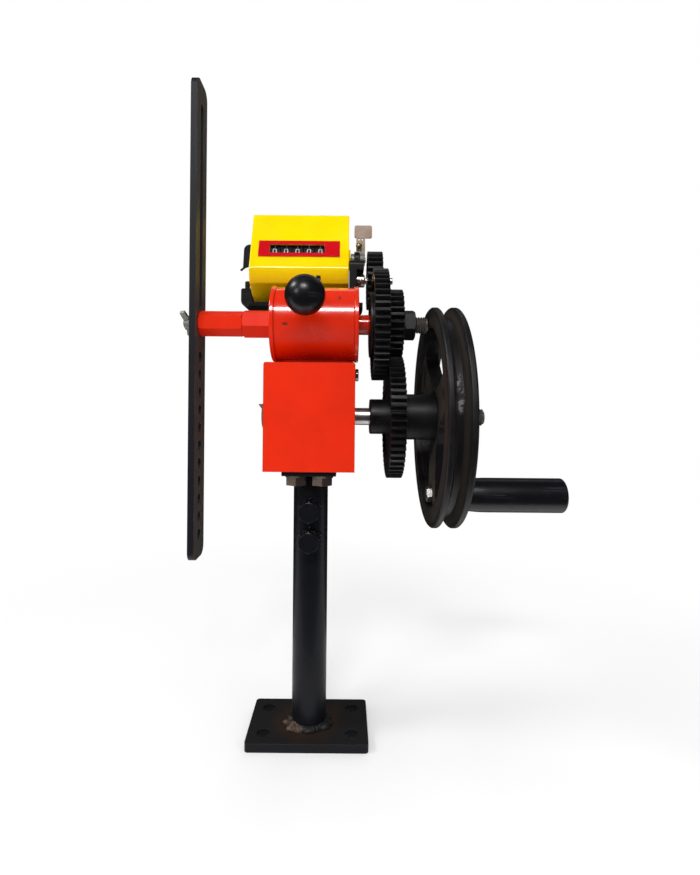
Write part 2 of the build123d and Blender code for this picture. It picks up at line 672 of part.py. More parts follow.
def former_arm():
    """Flat bar with a long slot above the spindle and a row of holes below it."""
    length = ARM_UP + ARM_DOWN
    middle = (ARM_UP - ARM_DOWN) / 2
    outline = Pos(0, middle) * RectangleRounded(ARM_WIDTH, length, ARM_CORNER)
    outline -= Circle(STUD_D / 2 + BOLT_PLAY)
    slot_middle = (ARM_SLOT_START + ARM_SLOT_END) / 2
    slot_length = ARM_SLOT_END - ARM_SLOT_START
    outline -= Pos(0, slot_middle) * Rot(0, 0, 90) * SlotOverall(slot_length, ARM_SLOT_WIDTH)
    for number in range(ARM_HOLE_COUNT):
        drop = ARM_FIRST_HOLE + number * ARM_HOLE_PITCH
        outline -= Pos(0, -drop) * Circle(ARM_HOLE_D / 2)
    return extrude(side_plane(ARM_LEFT, 0, SPINDLE_Z) * outline, amount=ARM_THICKNESS)


def wing_nut():
    """Wing nut that holds the arm against the hexagonal sleeve."""
    face = ARM_LEFT - SPINDLE_WASHER_THICKNESS
    top = face - WING_HUB_HEIGHT
    low = WING_HUB_D / 2
    hub = turned([(face, 0), (face, low), (top, low * 0.8), (top, 0)], 0, SPINDLE_Z)
    outline = Polyline((face - 1.0, 0), (face - 1.0, low), (face - 2.6, WING_SPAN / 2),
                       (face - WING_RISE, WING_SPAN / 2 - 0.8), (face - WING_RISE + 0.6, low + 1.5),
                       (top, low * 0.5), (top, 0), close=True)
    wing = extrude(Plane.XZ * make_face(outline.edges()), amount=WING_THICKNESS / 2, both=True)
    wing = fillet(wing.edges().filter_by(Axis.Y).group_by(Axis.Z)[-1], 0.7)
    for angle in (WING_TURN, WING_TURN + 180):
        hub += Pos(0, 0, SPINDLE_Z) * Rot(angle, 0, 0) * wing
    return hub - disc(top - 5, face + 1, STUD_D + 2 * SEAT_FIT, 0, SPINDLE_Z)


def arm_washer():
    face = ARM_LEFT
    return disc(face - SPINDLE_WASHER_THICKNESS, face, WING_HUB_D + 4.0, 0, SPINDLE_Z,
                bore=STUD_D + 2 * BOLT_PLAY)


def spindle_collar():
    """Painted sleeve between the right bearing and the gears."""
    left = HOUSING_RIGHT - CAP_THICKNESS
    right = LARGE_GEAR_X - FLANGE_DISC_WIDTH
    return disc(left, right, COLLAR_D, 0, SPINDLE_Z, bore=SHAFT_D + 2 * SEAT_FIT)


def spindle_fasteners():
    washer_x = SPINDLE_GEARS_RIGHT
    nut_x = washer_x + SPINDLE_WASHER_THICKNESS
    washer = disc(washer_x, nut_x, SPINDLE_WASHER_D, 0, SPINDLE_Z, bore=SHAFT_D + 2 * BOLT_PLAY)
    nut = hex_bar(nut_x, nut_x + SPINDLE_NUT_HEIGHT, SPINDLE_NUT_AF, 0, SPINDLE_Z,
                  bore=SHAFT_D + 2 * SEAT_FIT, turn=20)
    return washer, nut


# ---- crank ----
def input_shaft():
    shaft = disc(INPUT_SHAFT_LEFT, INPUT_SHAFT_RIGHT, SHAFT_D, 0, INPUT_Z)
    return chamfer(shaft.edges().filter_by(GeomType.CIRCLE), 0.9)


def input_gear():
    """Gear with its hub, meshed under the spindle's small gear."""
    hub_left = INPUT_GEAR_X - INPUT_HUB_LENGTH
    body = gear(INPUT_TEETH, 90, INPUT_GEAR_X, GEAR_WIDTH, 0, INPUT_Z, SHAFT_D + 2 * SEAT_FIT,
                hub_d=INPUT_HUB_D, left_recess=GEAR_RECESS)
    hub = disc(hub_left, INPUT_GEAR_X + GEAR_RECESS, INPUT_HUB_D, 0, INPUT_Z, bore=SHAFT_D + 2 * SEAT_FIT)
    hub = chamfer(hub.edges().filter_by(GeomType.CIRCLE).group_by(Axis.X)[0].sort_by(SortBy.LENGTH)[-1], 0.6)
    screw_x = hub_left + INPUT_HUB_LENGTH / 2
    return body + hub - set_screw_body(screw_x, SIDE_SCREW_D + 2 * SEAT_FIT)


def set_screw_body(x, diameter):
    """Threaded screw that stands on the shaft inside the hub."""
    low = SHAFT_D / 2 + SEAT_FIT
    high = INPUT_HUB_D / 2 - 0.5
    angle = radians(WHEEL_TURN + 180)
    place = Pos(x, 0, INPUT_Z) * Rot(degrees(angle) - 90, 0, 0) * Pos(0, 0, (low + high) / 2)
    return place * Cylinder(diameter / 2, high - low + (2.0 if diameter > SIDE_SCREW_D else 0.0))


def shaft_nuts():
    """Thin nut at the shaft's left end and the nut that holds the handwheel."""
    bore = SHAFT_D + 2 * SEAT_FIT
    lock_right = lock_washer_x()
    lock = hex_bar(lock_right - LOCK_NUT_HEIGHT, lock_right, LOCK_NUT_AF, 0, INPUT_Z, bore=bore, turn=30)
    wheel_x = WHEEL_HUB_RIGHT + WHEEL_WASHER_THICKNESS
    wheel = hex_bar(wheel_x, wheel_x + WHEEL_NUT_HEIGHT, WHEEL_NUT_AF, 0, INPUT_Z, bore=bore, turn=12)
    return lock, wheel


def lock_washer_x():
    """Left face of the tab washer, which runs just clear of the box."""
    return -BOX_LENGTH / 2 - FACE_GAP - TAB_WASHER_THICKNESS


def shaft_washers():
    """Tab washer with its tab bent along the thin nut's front, and the handwheel's washer."""
    bore = SHAFT_D + 2 * SEAT_FIT
    face = lock_washer_x()
    face_right = face + TAB_WASHER_THICKNESS
    left = disc(face, face_right, LOCK_NUT_AF + 2, 0, INPUT_Z, bore=bore)
    tab_y = -LOCK_NUT_AF / 2 - SEAT_FIT
    high = INPUT_Z + LOCK_NUT_AF / 2 - 0.5
    with BuildSketch(Plane.XZ) as tab:
        with BuildLine():
            Polyline((face_right, high), (face_right - TAB_REACH, high - 0.3), (face, high - TAB_WIDTH),
                     (face_right, high - TAB_WIDTH), close=True)
        make_face()
    left += Pos(0, tab_y, 0) * extrude(tab.sketch, amount=TAB_WASHER_THICKNESS)
    link = block(face, face_right, tab_y - TAB_WASHER_THICKNESS, 0, high - TAB_WIDTH, high)
    left += link - disc(face - 1, face_right + 1, LOCK_NUT_AF, 0, INPUT_Z)
    right = disc(WHEEL_HUB_RIGHT, WHEEL_HUB_RIGHT + WHEEL_WASHER_THICKNESS, WHEEL_WASHER_D, 0, INPUT_Z,
                 bore=bore)
    return left, right


def handwheel():
    """Cast wheel with a belt groove, three arms and a long hub that reaches the gear."""
    outer = WHEEL_D / 2
    inner = outer - RIM_DEPTH
    floor = outer - GROOVE_DEPTH
    slant = GROOVE_DEPTH * tan(radians(GROOVE_ANGLE / 2))
    groove_left = WHEEL_LEFT + WHEEL_CREST
    groove_right = WHEEL_RIGHT - WHEEL_CREST
    rim = turned(
        [(WHEEL_LEFT, inner), (WHEEL_LEFT, outer - CREST_EDGE), (WHEEL_LEFT + CREST_EDGE, outer),
         (groove_left - CREST_EDGE / 2, outer), (groove_left, outer - CREST_EDGE / 2),
         (groove_left + slant, floor), (groove_right - slant, floor),
         (groove_right, outer - CREST_EDGE / 2), (groove_right + CREST_EDGE / 2, outer),
         (WHEEL_RIGHT - CREST_EDGE, outer), (WHEEL_RIGHT, outer - CREST_EDGE), (WHEEL_RIGHT, inner)],
        0, INPUT_Z)
    windows = Circle(inner - WEB_LIP) - Circle(WHEEL_HUB_D / 2 + WINDOW_CORNER)
    for number in range(WEB_ARMS):
        angle = WHEEL_TURN - 90 + number * 360 / WEB_ARMS
        windows -= Rot(0, 0, angle) * Pos(inner / 2, 0) * Rectangle(inner, ARM_ROOT_WIDTH)
    windows = fillet(windows.vertices(), WINDOW_CORNER)
    web = disc(WEB_LEFT, WEB_RIGHT, inner + floor, 0, INPUT_Z)
    for window in windows.faces():
        web -= extrude(side_plane(WEB_LEFT - 1, 0, INPUT_Z) * window, amount=WEB_THICKNESS + 2)
    wheel = web + disc(WEB_LEFT, WEB_RIGHT, CRANK_BOSS_D, CRANK_Y, CRANK_Z)
    wheel += disc(INPUT_GEAR_RIGHT, WHEEL_HUB_RIGHT, WHEEL_HUB_D, 0, INPUT_Z)
    wheel -= disc(INPUT_GEAR_RIGHT - 1, WHEEL_HUB_RIGHT + 1, SHAFT_D + 2 * SEAT_FIT, 0, INPUT_Z)
    wheel -= disc(WEB_LEFT - 1, WEB_RIGHT + 1, HANDLE_BOLT_D + 2 * SEAT_FIT, CRANK_Y, CRANK_Z)
    return wheel + rim


def handle_bolt():
    """Bolt through the wheel's lower arm that the grip turns on."""
    head = hex_bar(WEB_LEFT - HANDLE_BOLT_HEAD, WEB_LEFT, HANDLE_BOLT_AF, CRANK_Y, CRANK_Z, turn=WHEEL_TURN)
    shank_end = GRIP_LEFT + GRIP_BORE_DEPTH - FACE_GAP
    return head + disc(WEB_LEFT, shank_end, HANDLE_BOLT_D, CRANK_Y, CRANK_Z)


def handle_nut():
    """Long nut between the wheel and the grip."""
    return hex_bar(WEB_RIGHT, GRIP_LEFT - FACE_GAP, HANDLE_BOLT_AF, CRANK_Y, CRANK_Z,
                   bore=HANDLE_BOLT_D + 2 * SEAT_FIT)


def handle_grip():
    """Turned plastic grip, slimmer at its root, with a blind bore."""
    right = GRIP_LEFT + GRIP_LENGTH
    swell_x = GRIP_LEFT + GRIP_SWELL
    swell_middle = GRIP_LEFT + GRIP_SWELL * 0.55
    root = GRIP_ROOT_D / 2
    full = GRIP_D / 2
    end = GRIP_END_ROUND
    with BuildSketch() as outline:
        with BuildLine():
            Line((GRIP_LEFT, 0), (GRIP_LEFT, root - 0.8))
            Line((GRIP_LEFT, root - 0.8), (GRIP_LEFT + 0.8, root))
            ThreePointArc((GRIP_LEFT + 0.8, root), (swell_middle, root + (full - root) * 0.72),
                          (swell_x, full))
            Line((swell_x, full), (right - end, full))
            ThreePointArc((right - end, full), (right - end * 0.29, full - end * 0.29), (right, full - end))
            Line((right, full - end), (right, 0))
            Line((right, 0), (GRIP_LEFT, 0))
        make_face()
    blank = Plane(origin=(0, CRANK_Y, CRANK_Z), x_dir=(1, 0, 0), z_dir=(0, -1, 0)) * outline.sketch
    grip = revolve(blank, axis=Axis((0, CRANK_Y, CRANK_Z), (1, 0, 0)))
    return grip - disc(GRIP_LEFT - 1, GRIP_LEFT + GRIP_BORE_DEPTH, HANDLE_BOLT_D + 2 * RUN_FIT, CRANK_Y,
                       CRANK_Z)


# ---- counter ----
def cover_outline(inset):
    """Side outline of the counter's cover, drawn smaller all round by inset."""
    front = NOSE_FRONT
    back = COUNTER_BACK
    foot = COVER_FOOT_Z - COUNTER_Z
    with BuildSketch() as outline:
        with BuildLine():
            Line((COVER_TOP_Y, COVER_TOP_Z), (front, NOSE_TOP))
            ThreePointArc((front, NOSE_TOP),
                          ((front + NOSE_BOTTOM_Y) / 2 - NOSE_BULGE, (NOSE_TOP + NOSE_BOTTOM_Z) / 2),
                          (NOSE_BOTTOM_Y, NOSE_BOTTOM_Z))
            Line((NOSE_BOTTOM_Y, NOSE_BOTTOM_Z), (COVER_FOOT_Y, foot))
            Line((COVER_FOOT_Y, foot), (back, foot))
            Line((back, foot), (back, COVER_TOP_Z - COVER_TOP_BACK_DROP))
            Line((back, COVER_TOP_Z - COVER_TOP_BACK_DROP), (COVER_TOP_Y, COVER_TOP_Z))
        make_face()
    section = outline.sketch
    if inset > 0:
        return offset(section, amount=-inset, kind=Kind.INTERSECTION)
    return fillet(section.vertices().group_by(Axis.Y)[-1], COVER_TOP_ROUND)


def face_plane(depth):
    """Plane on the counter's sloping face at the window's centre, depth behind the surface."""
    origin = (WINDOW_CENTRE_X, WINDOW_Y - depth * FACE_OUT[1], WINDOW_Z - depth * FACE_OUT[2])
    return Plane(origin=origin, x_dir=(1, 0, 0), z_dir=FACE_OUT)


def counter_cover():
    """Sheet hood over the number wheels, open below, with a cut-out for the window."""
    hood = extrude(side_plane(COUNTER_LEFT, COUNTER_Y, COUNTER_Z) * cover_outline(0), amount=COUNTER_LENGTH)
    hood -= extrude(side_plane(COUNTER_LEFT + COVER_WALL, COUNTER_Y, COUNTER_Z) * cover_outline(COVER_WALL),
                    amount=COUNTER_LENGTH - 2 * COVER_WALL)
    hood -= block(COUNTER_LEFT + COVER_WALL, COUNTER_RIGHT - COVER_WALL,
                  COUNTER_Y + COVER_FOOT_Y + 2 * COVER_WALL, COUNTER_Y + COUNTER_BACK - COVER_WALL,
                  COVER_FOOT_Z - 1, COVER_FOOT_Z + 2 * COVER_WALL)
    hood -= extrude(face_plane(-1) * Rectangle(WINDOW_LENGTH, WINDOW_HEIGHT), amount=-COVER_WALL - 3)
    hood += disc(COUNTER_RIGHT, COVER_BOSS_RIGHT, COVER_BOSS_D, AXLE_Y, AXLE_Z)
    return hood - disc(COUNTER_RIGHT - 5, COVER_BOSS_RIGHT + 5, AXLE_D + 2.0, AXLE_Y, AXLE_Z)


def counter_bezel():
    """Coloured plate on the sloping face, round the window."""
    plate = Pos(BEZEL_LEFT + BEZEL_LENGTH / 2 - WINDOW_CENTRE_X, 0) * Rectangle(BEZEL_LENGTH, BEZEL_HEIGHT)
    plate -= Rectangle(WINDOW_LENGTH, WINDOW_HEIGHT - 0.8)
    return extrude(face_plane(0) * plate, amount=BEZEL_THICKNESS)


def counter_window():
    """Clear pane in the cover's cut-out, flush with the inside."""
    pane = Rectangle(WINDOW_LENGTH - 2 * SEAT_FIT, WINDOW_HEIGHT - 2 * SEAT_FIT)
    return extrude(face_plane(COVER_WALL - 0.2) * pane, amount=GLASS_THICKNESS)


def number_wheel(number):
    """Number wheel, counted from the units at the right, with a driving rim on its left side."""
    centre = WINDOW_CENTRE_X + (WHEEL_COUNT - 1) / 2 * WHEEL_PITCH - number * WHEEL_PITCH
    half = (WHEEL_PITCH - NUMBER_WHEEL_GAP) / 2
    body = disc(centre - half, centre + half, NUMBER_WHEEL_D, AXLE_Y, AXLE_Z, bore=AXLE_D + 2 * RUN_FIT)
    return body - disc(centre - half - 1, centre - half + 2, NUMBER_WHEEL_D - 4, AXLE_Y, AXLE_Z,
                       bore=AXLE_D + 5)


def number_axle():
    """Fixed axle of the number wheels, with a spacer sleeve between the wheels and the case."""
    left = COUNTER_LEFT + COVER_WALL + 1.0
    right = EAR_RIGHT + LEVER_HUB_LENGTH + 1.0
    axle = disc(left, right, AXLE_D, AXLE_Y, AXLE_Z)
    sleeve_left = WINDOW_CENTRE_X + WHEEL_COUNT / 2 * WHEEL_PITCH + NUMBER_WHEEL_GAP
    sleeve_right = COUNTER_RIGHT - COVER_WALL - FACE_GAP
    sleeve = disc(sleeve_left, sleeve_right, AXLE_D + 4.0, AXLE_Y, AXLE_Z)
    return axle + sleeve


def counter_base():
    """Cast base with a lug and a stop pin at the left and a post that carries the axle."""
    right = CASE_RIGHT
    back = COUNTER_Y + COUNTER_BACK
    front = COUNTER_Y + COVER_FOOT_Y
    top = COVER_FOOT_Z
    base = block(COUNTER_LEFT, right, front, back, COUNTER_BASE_Z, top)
    lug_left = COUNTER_LEFT - LUG_LENGTH
    lug_front = front - LUG_DEPTH / 3
    lug = block(lug_left, COUNTER_LEFT, lug_front, lug_front + LUG_DEPTH, COUNTER_BASE_Z,
                COUNTER_BASE_Z + LUG_HEIGHT)
    lug = fillet(lug.edges().filter_by(Axis.Y).group_by(Axis.X)[0].sort_by(Axis.Z)[0], LUG_ROUND)
    lug = fillet(lug.edges().filter_by(Axis.Y).group_by(Axis.X)[0].sort_by(Axis.Z)[-1], 1.5)
    pin_x = lug_left + LUG_LENGTH / 2
    pin_y = lug_front + 4.0
    pin_top = COUNTER_BASE_Z + LUG_HEIGHT + STOP_PIN_RISE
    pin = post_along_z(COUNTER_BASE_Z + LUG_HEIGHT, pin_top, STOP_PIN_D, pin_x, pin_y)
    pin = fillet(pin.edges().group_by(Axis.Z)[-1], 1.2)
    post_left = COUNTER_LEFT + COVER_WALL + 1.0
    foot_y = front + 2 * COVER_WALL + FACE_GAP
    with BuildSketch(side_plane(post_left)) as leaning:
        with BuildLine():
            Polyline((foot_y, top), (foot_y + PILLAR_WIDTH, top), (foot_y + PILLAR_WIDTH, AXLE_Z),
                     (AXLE_Y, AXLE_Z + PILLAR_WIDTH / 2), (AXLE_Y - PILLAR_WIDTH / 2, AXLE_Z),
                     (foot_y, AXLE_Z - PILLAR_WIDTH * 2), close=True)
        make_face()
    pillar = extrude(leaning.sketch, amount=PILLAR_THICKNESS)
    pillar -= disc(post_left - 1, post_left + PILLAR_THICKNESS + 1, AXLE_D + 2 * SEAT_FIT, AXLE_Y, AXLE_Z)
    base += lug + pin + pillar
    for x in SHELF_SCREW_X:
        base -= post_along_z(COUNTER_BASE_Z - 1, top - 1, SHELF_SCREW_D + 2 * SEAT_FIT, x,
                             shelf_screw_y())
    return base


def shelf_screw_y():
    return COUNTER_Y + (COVER_FOOT_Y + COUNTER_BACK) / 2


def counter_case():
    """Block right of the cover that holds the counter's input shaft and the axle's ear."""
    low = COVER_FOOT_Z
    block_top = COUNTER_Z + CASE_TOP
    case = block(CASE_LEFT, CASE_RIGHT, COUNTER_Y + CASE_FRONT, COUNTER_Y + CASE_BACK, low, block_top)
    case = fillet(case.edges().filter_by(Axis.X), CASE_ROUND)
    ear = disc(EAR_LEFT, EAR_RIGHT, EAR_D, AXLE_Y, AXLE_Z)
    ear += block(EAR_LEFT, EAR_RIGHT, AXLE_Y - EAR_D / 2, AXLE_Y + EAR_D / 2, block_top - CASE_ROUND, AXLE_Z)
    case += ear
    case -= disc(EAR_LEFT - 1, EAR_RIGHT + 1, AXLE_D + 2 * SEAT_FIT, AXLE_Y, AXLE_Z)
    case -= disc(COUNTER_SHAFT_LEFT - FACE_GAP, CASE_RIGHT + 1, COUNTER_SHAFT_D + 2 * FACE_GAP,
                 COUNTER_Y, COUNTER_Z)
    case -= disc(CASE_NOSE_RIGHT - COUNTER_BUSH_INSIDE, CASE_RIGHT + 1, COUNTER_BUSH_D + 2 * SEAT_FIT,
                 COUNTER_Y, COUNTER_Z)
    case -= block(CASE_NOSE_RIGHT, CASE_RIGHT + 1, COUNTER_Y + CASE_FRONT - 1, COUNTER_Y + CASE_BACK + 1,
                  low - 1, COUNTER_Z + CASE_STEP_ABOVE)
    case -= disc(CASE_LEFT - 1, COVER_BOSS_RIGHT + FACE_GAP, COVER_BOSS_D + 2 * FACE_GAP, AXLE_Y, AXLE_Z)
    return case - disc(CASE_LEFT - 1, EAR_LEFT, AXLE_WASHER_D + 2 * FACE_GAP, AXLE_Y, AXLE_Z)


def axle_washer():
    """Bright washer on the axle between the cover's boss and the ear."""
    return disc(COVER_BOSS_RIGHT + FACE_GAP, EAR_LEFT, AXLE_WASHER_D, AXLE_Y, AXLE_Z,
                bore=AXLE_D + 2 * SEAT_FIT)


def counter_bush():
    """Plated bush pressed in the case, round the counter's input shaft."""
    left = CASE_NOSE_RIGHT - COUNTER_BUSH_INSIDE
    right = left + COUNTER_BUSH_LENGTH
    bush = disc(left, right, COUNTER_BUSH_D, COUNTER_Y, COUNTER_Z, bore=COUNTER_SHAFT_D + 2 * RUN_FIT)
    right_rim = bush.edges().filter_by(GeomType.CIRCLE).group_by(Axis.X)[-1].sort_by(SortBy.LENGTH)[-1]
    return chamfer(right_rim, 0.6)


def counter_bracket():
    """Shelf welded to the back of the housing under the counter, with a gusset below."""
    top = COUNTER_BASE_Z
    low = top - SHELF_THICKNESS
    back = COUNTER_Y + COUNTER_BACK
    tube_left = HOUSING_LEFT + CAP_THICKNESS + FACE_GAP
    tube_right = HOUSING_RIGHT - CAP_THICKNESS - FACE_GAP
    shelf = block(SHELF_LEFT, SHELF_RIGHT, HOUSING_D / 2 + 2, back, low, top)
    shelf += block(tube_left, tube_right, HOUSING_D / 4, HOUSING_D / 2 + 2, low, top)
    reach = HOUSING_D / 2 + GUSSET_REACH
    drop = SPINDLE_Z - GUSSET_DROP
    with BuildSketch(side_plane(-GUSSET_THICKNESS / 2)) as web:
        with BuildLine():
            Polyline((HOUSING_D / 4, low), (reach, low), (HOUSING_D / 2 + 2, drop), (HOUSING_D / 4, drop),
                     close=True)
        make_face()
    shelf += extrude(web.sketch, amount=GUSSET_THICKNESS)
    shelf -= disc(-BOX_LENGTH, BOX_LENGTH, HOUSING_D, 0, SPINDLE_Z)
    for x in SHELF_SCREW_X:
        shelf -= post_along_z(low - 1, top + 1, SHELF_SCREW_D + 2 * BOLT_PLAY, x, shelf_screw_y())
    return shelf


def counter_screws():
    """Cap screws from below the shelf into the counter's base."""
    screws = []
    low = COUNTER_BASE_Z - SHELF_THICKNESS
    for x in SHELF_SCREW_X:
        head = post_along_z(low - SHELF_SCREW_HEAD, low, SHELF_SCREW_HEAD_D, x, shelf_screw_y())
        shank = post_along_z(low, COVER_FOOT_Z - 1.5, SHELF_SCREW_D, x, shelf_screw_y())
        screws.append(head + shank)
    return screws


def side_clip():
    """Bent strip clip on the cover's left side, hooked outwards at its foot."""
    right = COUNTER_LEFT
    left = right - CLIP_WIDTH
    top = WINDOW_Z + CLIP_ABOVE
    low = top - CLIP_HEIGHT
    corner = CLIP_WIDTH * 0.7
    with BuildSketch(Plane.XZ) as outline:
        with BuildLine():
            Line((right, top), (left + corner, top))
            ThreePointArc((left + corner, top), (left + corner * 0.29, top - corner * 0.29),
                          (left, top - corner))
            Line((left, top - corner), (left - 0.6, low + 1.6))
            Line((left - 0.6, low + 1.6), (left - CLIP_HOOK, low - 0.4))
            Line((left - CLIP_HOOK, low - 0.4), (left - CLIP_HOOK + 1.6, low - 1.4))
            ThreePointArc((left - CLIP_HOOK + 1.6, low - 1.4), (left + 1.4, low + 1.2), (right, low + 1.9))
            Line((right, low + 1.9), (right, top))
        make_face()
    front = COUNTER_Y + CASE_FRONT + 16
    clip = Pos(0, front + CLIP_THICKNESS, 0) * extrude(outline.sketch, amount=CLIP_THICKNESS)
    return clip


def counter_shaft():
    return disc(COUNTER_SHAFT_LEFT, COUNTER_SHAFT_RIGHT, COUNTER_SHAFT_D, COUNTER_Y, COUNTER_Z)


def reset_lever():
    """Sheet lever on a hub that turns on the axle's right end."""
    hub_left = EAR_RIGHT + FACE_GAP / 2
    hub = disc(hub_left, hub_left + LEVER_HUB_LENGTH, LEVER_HUB_D, AXLE_Y, AXLE_Z)
    stem_right = LEVER_STEM_LEFT + LEVER_STEM_WIDTH
    half = LEVER_THICKNESS / 2
    sheet = block(LEVER_STEM_LEFT, stem_right, AXLE_Y - half, AXLE_Y + half, AXLE_Z + LEVER_STEM_START,
                  AXLE_Z + LEVER_NECK + 1)
    sheet += block(hub_left, stem_right, AXLE_Y - half, AXLE_Y + half,
                   AXLE_Z + LEVER_HUB_D / 4, AXLE_Z + LEVER_STEM_START + 1)
    head = block(LEVER_HEAD_LEFT, LEVER_HEAD_LEFT + LEVER_HEAD_WIDTH, AXLE_Y - half, AXLE_Y + half,
                 AXLE_Z + LEVER_NECK, AXLE_Z + LEVER_REACH)
    head = fillet(head.edges().filter_by(Axis.Y), 1.5)
    lever = hub + sheet + head
    for x in (LEVER_STEM_LEFT + 2.2, LEVER_STEM_LEFT + 5.0):
        lever -= Pos(x, AXLE_Y, AXLE_Z + LEVER_NECK - 1.2) * Rot(90, 0, 0) * Cylinder(
            LEVER_HOLE_D / 2, LEVER_THICKNESS * 2)
    return lever - disc(EAR_RIGHT - 1, EAR_RIGHT + 10, AXLE_D + 2 * RUN_FIT, AXLE_Y, AXLE_Z)


# ---- brake lever ----
def brake_lug():
    """Two ears welded on top of the housing, one each side of the lever's boss."""
    pivot_z = SPINDLE_Z + PIVOT_Z
    ears = []
    for side in (-1, 1):
        inner = PIVOT_X + side * (PIVOT_BOSS_LENGTH / 2 + FACE_GAP)
        outer = inner + side * EAR_WALL
        low = min(inner, outer)
        high = max(inner, outer)
        ear = block(low, high, PIVOT_Y - EAR_WIDTH / 2, PIVOT_Y + EAR_WIDTH / 2, SPINDLE_Z, pivot_z)
        ear += disc(low, high, EAR_WIDTH, PIVOT_Y, pivot_z)
        ear -= disc(-BOX_LENGTH, BOX_LENGTH, HOUSING_D, 0, SPINDLE_Z)
        ears.append(ear - disc(low - 1, high + 1, PIVOT_PIN_D + 2 * SEAT_FIT, PIVOT_Y, pivot_z))
    return ears


def brake_pin():
    half = PIVOT_BOSS_LENGTH / 2 + FACE_GAP + EAR_WALL + PIN_SPARE
    return disc(PIVOT_X - half, PIVOT_X + half, PIVOT_PIN_D, PIVOT_Y, SPINDLE_Z + PIVOT_Z)


def brake_rod():
    """Rod from the pivot boss to the ball, clear of the housing below it."""
    pivot = (PIVOT_X, PIVOT_Y, SPINDLE_Z + PIVOT_Z)
    ball = (BALL_X, BALL_Y, SPINDLE_Z + BALL_Z)
    reach = Vector(*ball) - Vector(*pivot)
    tip = Vector(*pivot) + reach * (1 - 0.2 * BALL_D / reach.length)
    rod = rod_between(pivot, tuple(tip), ROD_D)
    boss = disc(PIVOT_X - PIVOT_BOSS_LENGTH / 2, PIVOT_X + PIVOT_BOSS_LENGTH / 2, PIVOT_BOSS_D, PIVOT_Y,
                SPINDLE_Z + PIVOT_Z)
    width = PIVOT_BOSS_LENGTH / 2
    trim = block(PIVOT_X - width - ROD_D, PIVOT_X - width, PIVOT_Y - ROD_FLAT, PIVOT_Y + ROD_FLAT,
                 SPINDLE_Z, SPINDLE_Z + 2 * PIVOT_Z)
    trim += block(PIVOT_X + width, PIVOT_X + width + ROD_D, PIVOT_Y - ROD_FLAT, PIVOT_Y + ROD_FLAT,
                  SPINDLE_Z, SPINDLE_Z + 2 * PIVOT_Z)
    body = rod - trim + boss
    return body - disc(PIVOT_X - ROD_D, PIVOT_X + ROD_D, PIVOT_PIN_D + 2 * RUN_FIT, PIVOT_Y,
                       SPINDLE_Z + PIVOT_Z)


def ball_knob():
    """Moulded ball, bored for the rod."""
    pivot = (PIVOT_X, PIVOT_Y, SPINDLE_Z + PIVOT_Z)
    centre = (BALL_X, BALL_Y, SPINDLE_Z + BALL_Z)
    reach = Vector(*centre) - Vector(*pivot)
    tip = Vector(*pivot) + reach * (1 - 0.2 * BALL_D / reach.length)
    ball = Pos(*centre) * Sphere(BALL_D / 2)
    return ball - rod_between(pivot, tuple(tip), ROD_D + 2 * SEAT_FIT)


# ---- the whole machine ----
def build_stand():
    save("base_plate", base_plate())
    save("post_tube", post_tube())
    save("post_weld", post_weld())
    nuts, bolts = clamp_parts()
    save("clamp_nuts", *nuts)
    save("clamp_bolts", *bolts)


def build_head():
    bolts, washers, nuts = flange_fasteners()
    on_input, on_spindle = bearing_places()
    save("head_stem", head_stem())
    save("head_flange", head_flange())
    save("flange_bolts", *bolts)
    save("flange_washers", *washers)
    save("flange_nuts", *nuts)
    save("head_box", head_box())
    save("box_back_cover", back_cover())
    outer_rings = [bearing_outer(x, INPUT_Z) for x in on_input]
    outer_rings += [bearing_outer(x, SPINDLE_Z) for x in on_spindle]
    save("bearing_outer_rings", *outer_rings)
    save("housing_saddle", saddle())
    save("spindle_housing", spindle_housing())
    save("housing_caps", housing_cap(HOUSING_LEFT, -1), housing_cap(HOUSING_RIGHT, 1))
    save("brake_lug", *brake_lug())
    save("brake_pivot_pin", brake_pin())


def build_counter():
    save("counter_bracket", counter_bracket())
    save("head_screws", side_screw(), *counter_screws())
    save("counter_base", counter_base())
    save("counter_case", counter_case())
    save("counter_cover", counter_cover())
    save("counter_bezel", counter_bezel())
    save("counter_window", counter_window())
    save("counter_bushes", counter_bush(), axle_washer())
    save("counter_side_clip", side_clip())
    save("number_axle", number_axle())
    for number in range(WHEEL_COUNT):
        save(f"number_wheel_{number + 1}", number_wheel(number))
    save("reset_lever", reset_lever())
    save("counter_shaft", counter_shaft())
    meshing_gap = COUNTER_DIRECTION + 180
    save("counter_gear", gear(COUNTER_TEETH, meshing_gap + 180 / COUNTER_TEETH, COUNTER_GEAR_X,
                              COUNTER_GEAR_WIDTH, COUNTER_Y, COUNTER_Z, COUNTER_SHAFT_D + 2 * SEAT_FIT))


